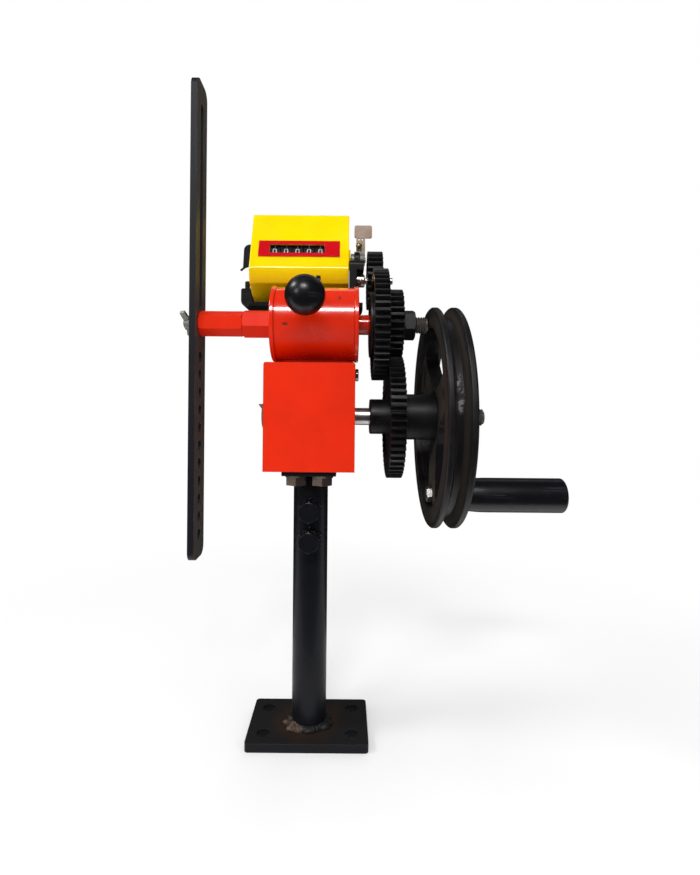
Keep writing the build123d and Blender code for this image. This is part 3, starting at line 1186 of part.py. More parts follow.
def build_spindle():
    bore = SHAFT_D + 2 * SEAT_FIT
    large, small = hex_sleeves()
    washer, nut = spindle_fasteners()
    on_input, on_spindle = bearing_places()
    save("spindle_shaft", spindle_shaft())
    save("spindle_inner_rings", *[bearing_inner(x, SPINDLE_Z) for x in on_spindle])
    save("hex_sleeve_large", large)
    save("hex_sleeve_small", small)
    save("former_arm", former_arm())
    save("wing_nut", wing_nut())
    save("spindle_collar", spindle_collar())
    save("gear_flange", disc(LARGE_GEAR_X - FLANGE_DISC_WIDTH, LARGE_GEAR_X, FLANGE_DISC_D, 0, SPINDLE_Z,
                             bore=bore))
    save("spindle_gear_large", gear(LARGE_TEETH, COUNTER_DIRECTION, LARGE_GEAR_X, GEAR_WIDTH, 0, SPINDLE_Z,
                                    bore, hub_d=FLANGE_DISC_D, left_recess=GEAR_RECESS))
    save("spindle_gear_small", gear(SMALL_TEETH, -90 + 180 / SMALL_TEETH, SMALL_GEAR_X, SMALL_GEAR_WIDTH, 0,
                                    SPINDLE_Z, bore))
    save("spindle_washers", arm_washer(), washer)
    save("spindle_nut", nut)


def build_crank():
    on_input, on_spindle = bearing_places()
    save("input_shaft", input_shaft())
    save("input_inner_rings", *[bearing_inner(x, INPUT_Z) for x in on_input])
    save("input_gear", input_gear())
    save("gear_set_screw", set_screw_body(INPUT_GEAR_X - INPUT_HUB_LENGTH / 2, SIDE_SCREW_D))
    save("crank_nuts", *shaft_nuts(), handle_nut())
    save("shaft_washers", *shaft_washers())
    save("handwheel", handwheel())
    save("handle_bolt", handle_bolt())
    save("handle_grip", handle_grip())


def build_brake():
    save("brake_rod", brake_rod())
    save("ball_knob", ball_knob())


os.makedirs("parts", exist_ok=True)
build_stand()
build_head()
build_counter()
build_spindle()
build_crank()
build_brake()
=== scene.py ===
"""Coil winding machine: finished pieces, materials and stage around the fixed frame."""

import json
import math

import bmesh
import bpy
from bpy.props import FloatProperty, FloatVectorProperty, IntProperty, PointerProperty
from bpy.types import Operator, Panel, PropertyGroup
from mathutils import Euler, Matrix, Vector, noise


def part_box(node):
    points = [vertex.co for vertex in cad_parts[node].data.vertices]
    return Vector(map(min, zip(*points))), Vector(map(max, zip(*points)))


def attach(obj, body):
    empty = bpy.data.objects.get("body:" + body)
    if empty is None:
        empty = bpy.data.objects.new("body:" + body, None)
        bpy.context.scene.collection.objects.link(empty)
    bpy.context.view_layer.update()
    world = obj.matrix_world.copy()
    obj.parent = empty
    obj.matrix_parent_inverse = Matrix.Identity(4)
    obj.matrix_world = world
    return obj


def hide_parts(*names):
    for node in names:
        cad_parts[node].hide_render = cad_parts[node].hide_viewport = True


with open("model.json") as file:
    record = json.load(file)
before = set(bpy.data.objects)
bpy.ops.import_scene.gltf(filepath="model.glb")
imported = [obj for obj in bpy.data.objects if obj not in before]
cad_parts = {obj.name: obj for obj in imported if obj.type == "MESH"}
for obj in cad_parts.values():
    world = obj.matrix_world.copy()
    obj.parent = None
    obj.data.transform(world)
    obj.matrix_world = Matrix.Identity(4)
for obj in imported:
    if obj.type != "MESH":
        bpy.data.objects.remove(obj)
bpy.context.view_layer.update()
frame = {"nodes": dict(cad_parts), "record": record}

bl_info = {
    "name": "Coil Winding Machine",
    "version": (1, 0, 0),
    "blender": (4, 5, 0),
    "location": "3D View > Sidebar > Winder",
    "description": "Builds a hand cranked coil winding machine around its frame",
    "category": "Add Mesh",
}

MM = 0.001
SHARP = math.radians(32)
CREASE = math.radians(50)
FLAT = math.radians(0.4)
SAME_PLACE = 0.001 * MM

SHAFT_RADIUS = 6 * MM
ARM_STUD_RADIUS = 3 * MM

# roundings of edges, besides the two that are settings
TOOTH_EDGE = 0.16 * MM
THIN_EDGE = 0.25 * MM
PIN_EDGE = 0.3 * MM
PLATE_EDGE = 0.4 * MM
WORN_EDGE = 0.45 * MM
BLOCK_EDGE = 0.5 * MM
WIDE_EDGE = 0.7 * MM

# places and half sizes of single marks, in metres
HOUSING_MARKS = ((Vector((-16.5, -25.3, 281.8)) * MM, Vector((1.9, 3.0, 1.1)) * MM),
                 (Vector((19.5, -20.7, 299.9)) * MM, Vector((1.0, 2.0, 1.9)) * MM))
WELD_END = (Vector((-10.5, -9.0, 7.5)) * MM, Vector((9.0, 8.0, 6.0)) * MM)
GROOVE_SCUFF = (Vector((90.2, -66.0, 237.0)) * MM, Vector((2.6, 16.0, 12.0)) * MM)


# ---- what the frame says ----
def middle(node):
    """Centre of a node's box."""
    low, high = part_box(node)
    return (low + high) / 2


def body_of(node):
    """Name of the body that carries a node."""
    for body, nodes in frame["record"]["behaviour"]["bodies"].items():
        if node in nodes:
            return body
    raise ValueError(f"no body carries {node}")


# points on the lines that the shafts and the number wheels turn about
SPINDLE = middle("spindle_gear_large")
INPUT = middle("input_gear")
NUMBER_AXLE = middle("number_wheel_1")


# ---- settings ----
class WinderSettings(PropertyGroup):
    """Sizes and colours that a user would change."""

    edge: FloatProperty(
        name="Edge rounding", description="Radius of a worn machined edge", default=0.35 * MM, unit="LENGTH")
    cast_edge: FloatProperty(
        name="Cast rounding", description="Radius of an edge on the casting", default=0.5 * MM, unit="LENGTH")
    weld_lump: FloatProperty(
        name="Weld lumps", description="Height of the weld's unevenness", default=1.1 * MM, unit="LENGTH")
    thread_pitch: FloatProperty(
        name="Thread pitch", description="Pitch of the shafts' threads", default=1.75 * MM, unit="LENGTH")
    digit_height: FloatProperty(
        name="Digit height", description="Height of the digits on the number wheels", default=5.0 * MM,
        unit="LENGTH")
    turned_steps: IntProperty(
        name="Turned steps", description="Faces round a turned piece", default=96, min=24, max=256)
    red: FloatVectorProperty(
        name="Red enamel", description="Colour of the head's enamel", default=(0.70, 0.019, 0.001),
        subtype="COLOR", size=3)
    yellow: FloatVectorProperty(
        name="Yellow enamel", description="Colour of the counter's cover", default=(0.93, 0.66, 0.0),
        subtype="COLOR", size=3)
    plate_red: FloatVectorProperty(
        name="Plate", description="Colour of the plate round the counter's window",
        default=(0.52, 0.004, 0.010), subtype="COLOR", size=3)
    black: FloatVectorProperty(
        name="Black enamel", description="Colour of the stand's enamel", default=(0.0045, 0.005, 0.0075),
        subtype="COLOR", size=3)
    lamp: FloatProperty(
        name="Lamp level", description="Share of the studio lamps' full power", default=1.0, min=0.0)


def settings():
    return bpy.context.scene.winder


# ---- shader maths ----
class Field:
    """A number that varies over a surface; arithmetic on it adds Math nodes."""

    def __init__(self, nodes, socket):
        self.nodes = nodes
        self.socket = socket

    def _math(self, operation, first, second=None):
        values = {0: first} if second is None else {0: first, 1: second}
        return self.nodes.add("ShaderNodeMath", {"operation": operation}, values)

    def __add__(self, other):
        return self._math("ADD", self, other)

    def __radd__(self, other):
        return self._math("ADD", other, self)

    def __sub__(self, other):
        return self._math("SUBTRACT", self, other)

    def __rsub__(self, other):
        return self._math("SUBTRACT", other, self)

    def __mul__(self, other):
        return self._math("MULTIPLY", self, other)

    def __rmul__(self, other):
        return self._math("MULTIPLY", other, self)

    def __truediv__(self, other):
        return self._math("DIVIDE", self, other)

    def root(self):
        return self._math("SQRT", self)

    def __abs__(self):
        return self._math("ABSOLUTE", self)

    def least(self, other):
        return self._math("MINIMUM", self, other)

    def most(self, other):
        return self._math("MAXIMUM", self, other)

    def between(self, low, high):
        """0 below low, 1 above high, and smooth between them; low may lie above high."""
        return self.nodes.add(
            "ShaderNodeMapRange", {"interpolation_type": "SMOOTHSTEP", "clamp": True},
            {"Value": self, "From Min": low, "From Max": high, "To Min": 0.0, "To Max": 1.0})


class Nodes:
    """A node tree, and one way to add nodes to it."""

    def __init__(self, tree):
        self.tree = tree

    def add(self, kind, settings=None, sockets=None, output=0):
        """Add a node of a type, set it up, and give one of its outputs as a Field."""
        node = self.tree.nodes.new(kind)
        for name, value in (settings or {}).items():
            setattr(node, name, value)
        for name, value in (sockets or {}).items():
            self.feed(node.inputs[name], value)
        return Field(self, node.outputs[output])

    def feed(self, socket, value):
        if isinstance(value, Field):
            self.tree.links.new(value.socket, socket)
        elif isinstance(value, (int, float)):
            socket.default_value = value
        elif len(value) == 3 and len(socket.default_value) == 4:
            socket.default_value = (*value, 1.0)
        else:
            socket.default_value = tuple(value)

    def seen(self):
        """1 for rays from the camera, from mirrors and through glass, and 0 for all others."""
        camera, glossy, through = (self.add("ShaderNodeLightPath", {}, {}, f"Is {kind} Ray")
                                   for kind in ("Camera", "Glossy", "Transmission"))
        return camera.most(glossy).most(through)


class Finish(Nodes):
    """A material and the nodes that make it."""

    def __init__(self, name):
        self.material = bpy.data.materials.new(name)
        self.material.use_nodes = True
        super().__init__(self.material.node_tree)
        self.shader = self.tree.nodes["Principled BSDF"]
        self.place = self.add("ShaderNodeTexCoord", {}, {}, "Object")

    def set(self, **sockets):
        """Feed the main shader's sockets, given with _ for each space."""
        for name, value in sockets.items():
            self.feed(self.shader.inputs[name.replace("_", " ")], value)
        return self

    def noise(self, scale, detail=3.0, roughness=0.55, place=None, distortion=0.0):
        return self.add(
            "ShaderNodeTexNoise", {"noise_dimensions": "3D"},
            {"Vector": place or self.place, "Scale": scale, "Detail": detail, "Roughness": roughness,
             "Distortion": distortion})

    def stretched(self, scale):
        return self.add("ShaderNodeMapping", {"vector_type": "POINT"},
                        {"Vector": self.place, "Scale": scale})

    def axis(self, letter):
        """One coordinate of the place, in metres."""
        return self.add("ShaderNodeSeparateXYZ", {}, {"Vector": self.place}, letter)

    def facing(self, letter):
        """One coordinate of the surface's direction, from -1 to 1."""
        direction = self.add("ShaderNodeTexCoord", {}, {}, "Normal")
        return self.add("ShaderNodeSeparateXYZ", {}, {"Vector": direction}, letter)

    def colour(self):
        """The colour that the shader has so far."""
        return Field(self, self.shader.inputs["Base Color"].links[0].from_socket)

    def from_line(self, letters, centre):
        """Distance from a line through a centre, across the two axes that letters name."""
        first, second = (self.axis(letter) - place for letter, place in zip(letters, centre))
        return (first * first + second * second).root()

    def spot(self, centre, size):
        """1 within a ragged mark round a point, as wide as size on each axis, and 0 outside it."""
        total = self.noise(900, 4.0, 0.7) * 1.4 - 0.7
        for letter, middle_at, width in zip("XYZ", centre, size):
            across = (self.axis(letter) - middle_at) / width
            total = total + across * across
        return total.between(1.25, 0.65)

    def mix(self, factor, first, second):
        """A colour between two, by a factor from 0 to 1."""
        return self.add("ShaderNodeMix", {"data_type": "RGBA"}, {0: factor, 6: first, 7: second}, 2)

    def bump(self, height, depth):
        return self.add("ShaderNodeBump", {}, {"Height": height, "Distance": depth}, "Normal")

    def edges(self, radius):
        """1 along convex and concave edges, 0 on flat areas."""
        rounded = self.add("ShaderNodeBevel", {"samples": 6}, {"Radius": radius})
        plain = self.add("ShaderNodeNewGeometry", {}, {}, "Normal")
        likeness = self.add("ShaderNodeVectorMath", {"operation": "DOT_PRODUCT"}, {0: rounded, 1: plain},
                            "Value")
        return (1.0 - likeness).between(0.02, 0.22)


made_finishes = {}


def finish_named(name):
    """Material of a finish, made once."""
    if name not in made_finishes:
        made_finishes[name] = FINISHES[name](name).material
    return made_finishes[name]


def scaled(colour, share):
    return tuple(min(1.0, part * share) for part in colour)


def enamel(name, colour, roughness, coat, chip_colour, wear, peel=0.05 * MM, shine=0.5, marks=()):
    """Sprayed enamel with a slight orange peel, uneven tone, dull spots and chips on its edges."""
    finish = Finish(name)
    tone = finish.noise(28, 4.0).between(0.35, 0.68)
    dirt = finish.noise(95, 6.0, 0.7).between(0.56, 0.78)
    specks = finish.noise(620, 2.0).between(0.76, 0.785)
    ragged = finish.noise(240, 5.0, 0.7)
    chips = (finish.edges(0.8 * MM) * wear + ragged * 0.55).between(0.66, 0.74)
    base = finish.mix(tone, scaled(colour, 0.9), colour)
    base = finish.mix(dirt * 0.14, base, scaled(colour, 0.55))
    for centre, size in marks:
        chips = chips.most(finish.spot(centre, size) * 0.8)
    base = finish.mix((specks * 0.6).most(chips), base, chip_colour)
    dull = finish.noise(70, 7.0, 0.75).between(0.42, 0.72)
    fine = finish.noise(900, 3.0)
    soft = finish.noise(190, 2.0)
    finish.set(
        Base_Color=base,
        Roughness=(roughness + dull * 0.1 + chips * 0.25).least(0.95),
        Coat_Weight=coat * (1.0 - chips),
        Coat_Roughness=0.1,
        Specular_IOR_Level=shine,
        Normal=finish.bump(soft * 0.75 + fine * 0.25 - chips * 0.5, peel))
    return finish


def red_enamel(name):
    return enamel(name, settings().red, roughness=0.42, coat=0.0, chip_colour=(0.05, 0.02, 0.015), wear=0.55,
                  shine=0.12)


def red_gloss(name):
    return enamel(name, settings().red, roughness=0.2, coat=0.9, chip_colour=(0.06, 0.006, 0.004), wear=0.42,
                  shine=0.45, marks=HOUSING_MARKS)


def yellow_enamel(name):
    """Smooth yellow enamel, with a painted golden reflection of the red housing and painted shade on the
    faces that look down.
    """
    finish = enamel(name, settings().yellow, roughness=0.12, coat=0.0, chip_colour=(0.32, 0.22, 0.03),
                    wear=0.34, peel=0.012 * MM)
    # painted reflection of the red housing and painted shade: faces that look down are tinted golden orange
    painted_reflection_below = finish.facing("Z").between(0.1, -0.45)
    return finish.set(Base_Color=finish.mix(painted_reflection_below * 0.85, finish.colour(), (0.98, 0.57, 0.0)))


def plate_enamel(name):
    return enamel(name, settings().plate_red, roughness=0.14, coat=0.0, chip_colour=(0.3, 0.03, 0.03),
                  wear=0.3, peel=0.01 * MM, shine=0.3)


def black_enamel(name):
    return enamel(name, settings().black, roughness=0.38, coat=0.05, chip_colour=(0.07, 0.06, 0.05), wear=0.5,
                  shine=0.2)


def base_enamel(name):
    """Black enamel of the base, browned by heat and rust round the weld, with painted light that makes its
    top faces lighter than its front.
    """
    finish = enamel(name, settings().black, roughness=0.42, coat=0.03, chip_colour=(0.09, 0.07, 0.06),
                    wear=0.62, shine=0.15)
    reach = finish.from_line("XY", (0, 0)) + (finish.noise(70, 5.0, 0.65) - 0.5) * (26 * MM)
    scorched = reach.between(30 * MM, 15 * MM)
    rust = finish.mix(finish.noise(260, 4.0, 0.7), (0.018, 0.010, 0.007), (0.045, 0.022, 0.012))
    upwards = finish.facing("Z").between(0.4, 0.9)
    # painted light: the faces that look up are painted lighter, so the front stays darker
    painted_lit_top = finish.mix(upwards * 0.8, finish.colour(), (0.0135, 0.0125, 0.0120))
    return finish.set(Base_Color=finish.mix(scorched * upwards * 0.6, painted_lit_top, rust))


def arm_enamel(name):
    """Black paint worn brown and grey on the arm's sides."""
    finish = Finish(name)
    long_marks = finish.noise(60, 5.0, 0.6, finish.stretched((1.0, 6.0, 1.0)))
    worn = (abs(finish.facing("X")) * 0.95 + (long_marks - 0.5) * 0.7).between(0.4, 0.95)
    edge = finish.edges(0.6 * MM)
    colour = finish.mix(worn, (0.0055, 0.006, 0.010), (0.078, 0.068, 0.058))
    colour = finish.mix(edge * 0.5 * long_marks.between(0.4, 0.65), colour, (0.16, 0.14, 0.12))
    specks = finish.noise(480, 3.0).between(0.7, 0.74)
    return finish.set(
        Base_Color=finish.mix(specks * 0.4, colour, (0.12, 0.1, 0.085)),
        Metallic=worn * 0.25,
        Roughness=0.5 - worn * 0.06,
        Specular_IOR_Level=0.3,
        Normal=finish.bump(long_marks + finish.noise(700) * 0.4, 0.05 * MM))


def weld_metal(name):
    """Bead of weld metal under thin black paint, browned where the runs end at the front left."""
    finish = Finish(name)
    lumps = finish.noise(190, 5.0, 0.6)
    end_of_run = finish.spot(*WELD_END)
    rust = finish.mix(lumps.between(0.4, 0.62), (0.03, 0.019, 0.012), (0.13, 0.085, 0.06))
    tone = finish.mix(end_of_run, (0.007, 0.007, 0.008), rust)
    bright = finish.edges(1.0 * MM) * finish.noise(330, 3.0).between(0.52, 0.7)
    return finish.set(
        Base_Color=finish.mix(bright * 0.35, tone, (0.18, 0.16, 0.14)),
        Metallic=end_of_run * 0.2,
        Roughness=0.42 + lumps * 0.3,
        Specular_IOR_Level=0.4,
        Normal=finish.bump(lumps * 0.6 + finish.noise(800, 3.0) * 0.4, 0.22 * MM))


def machined(name, colour, roughness, tarnish, ring_scale, metallic=1.0, stain=0.35):
    """Turned or ground steel: fine rings, a little tarnish and brighter edges."""
    finish = Finish(name)
    rings = finish.noise(1.0, 3.0, 0.6, finish.stretched((ring_scale, 120.0, 120.0)))
    cloud = finish.noise(85, 5.0, 0.65).between(0.4, 0.75)
    edge = finish.edges(0.5 * MM)
    tone = finish.mix(cloud * stain, colour, tarnish)
    return finish.set(
        Base_Color=finish.mix(edge * 0.5, tone, scaled(colour, 1.35)),
        Metallic=metallic,
        Roughness=roughness + cloud * 0.12 + rings * 0.08,
        Normal=finish.bump(rings, 0.012 * MM))


def bright_steel(name):
    return machined(name, (0.74, 0.735, 0.72), 0.26, (0.4, 0.36, 0.3), ring_scale=2200.0, stain=0.2)


def nickel(name):
    return machined(name, (0.84, 0.80, 0.72), 0.2, (0.5, 0.40, 0.26), ring_scale=1500.0, stain=0.2)


def zinc(name):
    """Dull plating, with a painted dark reflection and painted shade on the faces that look to the right."""
    finish = machined(name, (0.24, 0.185, 0.145), 0.42, (0.09, 0.065, 0.05), 900.0, 0.7, 0.6)
    # painted shade and painted dark reflection: faces that look to the right are painted dark
    painted_dark_right = finish.facing("X").between(0.15, 0.45)
    return finish.set(Base_Color=finish.mix(painted_dark_right * 0.8, finish.colour(), (0.03, 0.02, 0.022)))


def thread_steel(name):
    return machined(name, (0.17, 0.155, 0.14), 0.34, (0.07, 0.055, 0.04), 900.0, 0.7, 0.5)


def galvanised(name):
    return machined(name, (0.27, 0.265, 0.24), 0.42, (0.15, 0.14, 0.115), 700.0, 0.6, 0.5)


def old_brass(name):
    return machined(name, (0.26, 0.22, 0.10), 0.3, (0.07, 0.055, 0.03), 600.0, 0.8, 0.7)


def lever_steel(name):
    return machined(name, (0.36, 0.275, 0.215), 0.5, (0.24, 0.17, 0.12), 400.0, 0.45, 0.6)


def gear_steel(name):
    """Blackened, oiled steel whose tooth edges have rubbed bright."""
    finish = Finish(name)
    cloud = finish.noise(110, 5.0, 0.65).between(0.38, 0.72)
    rubbed = finish.edges(0.28 * MM) * finish.noise(420, 3.0).between(0.36, 0.6)
    tone = finish.mix(cloud, (0.005, 0.005, 0.007), (0.012, 0.011, 0.011))
    return finish.set(
        Base_Color=finish.mix(rubbed * 0.6, tone, (0.13, 0.13, 0.135)),
        Metallic=0.2 + rubbed * 0.4,
        Roughness=0.36 + cloud * 0.14,
        Specular_IOR_Level=0.4,
        Normal=finish.bump(finish.noise(950, 3.0), 0.02 * MM))


def cast_enamel(name):
    """Black painted casting, dusty brown inside and scuffed in the belt groove."""
    finish = Finish(name)
    radius = finish.from_line("YZ", INPUT.yz)
    grain = finish.noise(520, 4.0, 0.6)
    cloud = finish.noise(60, 5.0, 0.6)
    tone = finish.mix(cloud.between(0.35, 0.7), (0.0045, 0.0045, 0.006), (0.010, 0.009, 0.010))
    facing = abs(finish.facing("X"))
    web = radius.between(64 * MM, 60 * MM) * radius.between(16.5 * MM, 20 * MM)
    dust = (facing * 0.9 + (cloud - 0.5) * 1.6).between(0.62, 0.92) * web
    rim = radius.between(60 * MM, 66 * MM) * radius.between(76.5 * MM, 71 * MM) * facing
    tone = finish.mix(dust * 0.85, tone, (0.070, 0.052, 0.036))
    tone = finish.mix(rim * 0.75, tone, (0.040, 0.033, 0.026))
    scuffs = finish.spot(*GROOVE_SCUFF) * finish.noise(330, 5.0, 0.7).between(0.5, 0.6)
    worn = finish.edges(0.9 * MM) * finish.noise(180, 4.0).between(0.5, 0.7)
    tone = finish.mix(scuffs * 0.75, tone, (0.30, 0.29, 0.28))
    return finish.set(
        Base_Color=finish.mix(worn * 0.4, tone, (0.09, 0.085, 0.08)),
        Metallic=scuffs * 0.4,
        Roughness=0.38 + cloud * 0.12 + dust * 0.3 + scuffs * 0.15,
        Specular_IOR_Level=0.35,
        Normal=finish.bump(grain * 0.5 + finish.noise(150) * 0.5, 0.09 * MM))


def moulded(name, colour, roughness, coat, grain_depth, shine=0.5):
    """Moulded plastic with fine grain, handling marks and faint dust."""
    finish = Finish(name)
    marks = finish.noise(120, 6.0, 0.7).between(0.45, 0.75)
    dust = finish.noise(1500, 2.0).between(0.7, 0.76) * 0.35
    hairline = finish.noise(26, 2.0, 0.5, finish.stretched((1.0, 1.0, 22.0)), 1.5).between(0.635, 0.65)
    return finish.set(
        Base_Color=finish.mix((dust * 0.4).most(hairline * 0.08), colour, (0.12, 0.12, 0.12)),
        Roughness=roughness + marks * 0.1 + hairline * 0.12,
        Coat_Weight=coat,
        Coat_Roughness=0.05,
        Specular_IOR_Level=shine,
        Normal=finish.bump(finish.noise(1400, 2.0), grain_depth))


def gloss_plastic(name):
    return moulded(name, (0.004, 0.004, 0.006), 0.3, 0.0, 0.004 * MM)


def matte_plastic(name):
    return moulded(name, (0.005, 0.005, 0.006), 0.38, 0.0, 0.04 * MM, 0.22)


def wheel_plastic(name):
    finish = Finish(name)
    tone = finish.noise(60, 3.0)
    return finish.set(
        Base_Color=finish.mix(tone, (0.024, 0.016, 0.024), (0.018, 0.012, 0.018)),
        Roughness=0.5 + tone * 0.1,
        Specular_IOR_Level=0.2,
        Normal=finish.bump(tone, 0.01 * MM))


def digit_white(name):
    return moulded(name, (0.78, 0.78, 0.76), 0.5, 0.0, 0.015 * MM)


def clear_pane(name):
    """Clear plastic pane with a faint haze."""
    finish = Finish(name)
    haze = finish.noise(90, 3.0).between(0.45, 0.75)
    return finish.set(
        Base_Color=(0.03, 0.025, 0.03),
        Roughness=0.06 + haze * 0.05,
        Alpha=0.06 + haze * 0.03)


def flag_cloth(name):
    """Black cloth of the studio's flags."""
    finish = Finish(name)
    weave = finish.noise(400, 2.0)
    return finish.set(Base_Color=finish.mix(weave, (0.012, 0.012, 0.013), (0.02, 0.02, 0.021)),
                      Roughness=0.95, Specular_IOR_Level=0.1)


def floor_paper(name):
    """Pale paper that is white where it is looked at, except in the object's shadow."""
    finish = Finish(name)
    far = finish.from_line("XY", (0, 0)).between(0.12, 0.55)
    grain = finish.noise(700, 3.0)
    finish.set(Base_Color=finish.mix(grain, (0.86, 0.86, 0.86), (0.9, 0.9, 0.9)), Roughness=0.6)
    paper = Field(finish, finish.shader.outputs[0])
    glow = finish.add("ShaderNodeEmission", {}, {"Color": (1.0, 1.0, 1.0), "Strength": 1.0})
    mixed = finish.add("ShaderNodeMixShader", {}, {
        "Fac": (far * 0.75 + 0.25) * finish.seen(), 1: paper, 2: glow})
    finish.feed(finish.tree.nodes["Material Output"].inputs["Surface"], mixed)
    return finish


FINISHES = {maker.__name__: maker for maker in (
    red_enamel, red_gloss, yellow_enamel, plate_enamel, black_enamel, base_enamel, arm_enamel, weld_metal,
    bright_steel, nickel, zinc, thread_steel, galvanised, old_brass, lever_steel, gear_steel, cast_enamel,
    gloss_plastic, matte_plastic, wheel_plastic, digit_white, clear_pane, flag_cloth, floor_paper)}


# ---- mesh helpers ----
def linked(name, mesh):
    """A new object of the scene, with a bmesh as its mesh."""
    data = bpy.data.meshes.new(name)
    mesh.to_mesh(data)
    mesh.free()
    holder = bpy.data.objects.new(name, data)
    bpy.context.scene.collection.objects.link(holder)
    return holder


def piece_from(name, mesh, node, finish, replaces=True, smooth=True):
    """Turn a bmesh into a finished piece that rides where a node rides."""
    if smooth:
        for edge in mesh.edges:
            edge.smooth = not edge.is_manifold or edge.calc_face_angle(0.0) < CREASE
    for face in mesh.faces:
        face.smooth = smooth
    piece = linked(name, mesh)
    piece.data.materials.append(finish_named(finish))
    if smooth:
        even = piece.modifiers.new("Even normals", "WEIGHTED_NORMAL")
        even.keep_sharp = True
    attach(piece, body_of(node))
    if replaces:
        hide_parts(node)
    return piece


def merged_copy(node):
    """A node's mesh with its doubles merged and its flat areas joined."""
    mesh = bmesh.new()
    mesh.from_mesh(frame["nodes"][node].data)
    bmesh.ops.remove_doubles(mesh, verts=mesh.verts, dist=2 * SAME_PLACE)
    bmesh.ops.dissolve_limit(mesh, angle_limit=FLAT, verts=mesh.verts, edges=mesh.edges)
    return mesh


def round_edges(mesh, radius, segments=2):
    """Round the sharp edges of a mesh."""
    sharp = [edge for edge in mesh.edges if edge.is_manifold and edge.calc_face_angle(0.0) > SHARP]
    if sharp:
        bmesh.ops.bevel(mesh, geom=sharp, offset=radius, offset_type="OFFSET", segments=segments,
                        profile=0.5, affect="EDGES", material=-1, clamp_overlap=True)


def softened(node, finish, radius=None, segments=2):
    """A node's shape with its edges rounded, as a finished piece."""
    mesh = merged_copy(node)
    round_edges(mesh, radius or settings().edge, segments)
    return piece_from(f"{node}_finished", mesh, node, finish)


def turned(profile, centre, steps=None):
    """A bmesh turned about the X axis through centre, from (x, radius) points."""
    mesh = bmesh.new()
    corners = [mesh.verts.new((x, centre.y, centre.z + radius)) for x, radius in profile]
    edges = [mesh.edges.new(pair) for pair in zip(corners, corners[1:])]
    bmesh.ops.spin(mesh, geom=corners + edges, cent=(0, centre.y, centre.z), axis=(1, 0, 0), dvec=(0, 0, 0),
                   angle=math.tau, steps=steps or settings().turned_steps, use_merge=True)
    bmesh.ops.remove_doubles(mesh, verts=mesh.verts, dist=SAME_PLACE)
    bmesh.ops.recalc_face_normals(mesh, faces=mesh.faces)
    return mesh


def rounded_profile(points, radius):
    """Points of a profile with its inner corners rounded."""
    mesh = bmesh.new()
    corners = [mesh.verts.new((x, 0, r)) for x, r in points]
    for pair in zip(corners, corners[1:]):
        mesh.edges.new(pair)
    bmesh.ops.bevel(mesh, geom=corners[1:-1], offset=radius, offset_type="OFFSET", segments=3, profile=0.5,
                    affect="VERTICES", material=-1, clamp_overlap=True)
    mesh.verts.ensure_lookup_table()
    start = min((vert for vert in mesh.verts if len(vert.link_edges) == 1),
                key=lambda vert: (vert.co - Vector((points[0][0], 0, points[0][1]))).length)
    path = [start]
    while True:
        nexts = [edge.other_vert(path[-1]) for edge in path[-1].link_edges]
        nexts = [vert for vert in nexts if len(path) < 2 or vert is not path[-2]]
        if not nexts:
            break
        path.append(nexts[0])
    result = [(vert.co.x, vert.co.z) for vert in path]
    mesh.free()
    return result


def threaded(x_from, x_to, radius, centre, pitch, steps=40):
    """A bmesh of a screw thread along X, on a core with a chamfered right end."""
    root = radius - 0.58 * pitch
    crest = radius - 0.06 * pitch
    turns = int((x_to - x_from) / pitch)
    start = x_to - turns * pitch
    mesh = bmesh.new()
    tooth = [(start, root), (start + 0.42 * pitch, crest), (start + 0.56 * pitch, crest),
             (start + pitch, root)]
    corners = [mesh.verts.new((x, centre.y, centre.z + r)) for x, r in tooth]
    edges = [mesh.edges.new(pair) for pair in zip(corners, corners[1:])]
    bmesh.ops.spin(mesh, geom=corners + edges, cent=(0, centre.y, centre.z), axis=(1, 0, 0),
                   dvec=(pitch / steps, 0, 0), angle=math.tau * (turns - 1), steps=steps * (turns - 1),
                   use_merge=False)
    bmesh.ops.remove_doubles(mesh, verts=mesh.verts, dist=10 * SAME_PLACE)
    join_into(mesh, turned([(start, 0), (start, root), (x_to - 0.8 * MM, root),
                            (x_to, radius - 0.87 * pitch), (x_to, 0)], centre, steps))
    bmesh.ops.recalc_face_normals(mesh, faces=mesh.faces)
    return mesh


def join_into(mesh, other):
    """Add another bmesh to a bmesh, and free it."""
    data = bpy.data.meshes.new("joined")
    other.to_mesh(data)
    other.free()
    mesh.from_mesh(data)
    bpy.data.meshes.remove(data)


# ---- pieces ----
class WinderOperator:
    """What every operator of this add-on shares."""

    bl_options = {"REGISTER", "UNDO"}

    def execute(self, context):
        self.build(context)
        return {"FINISHED"}


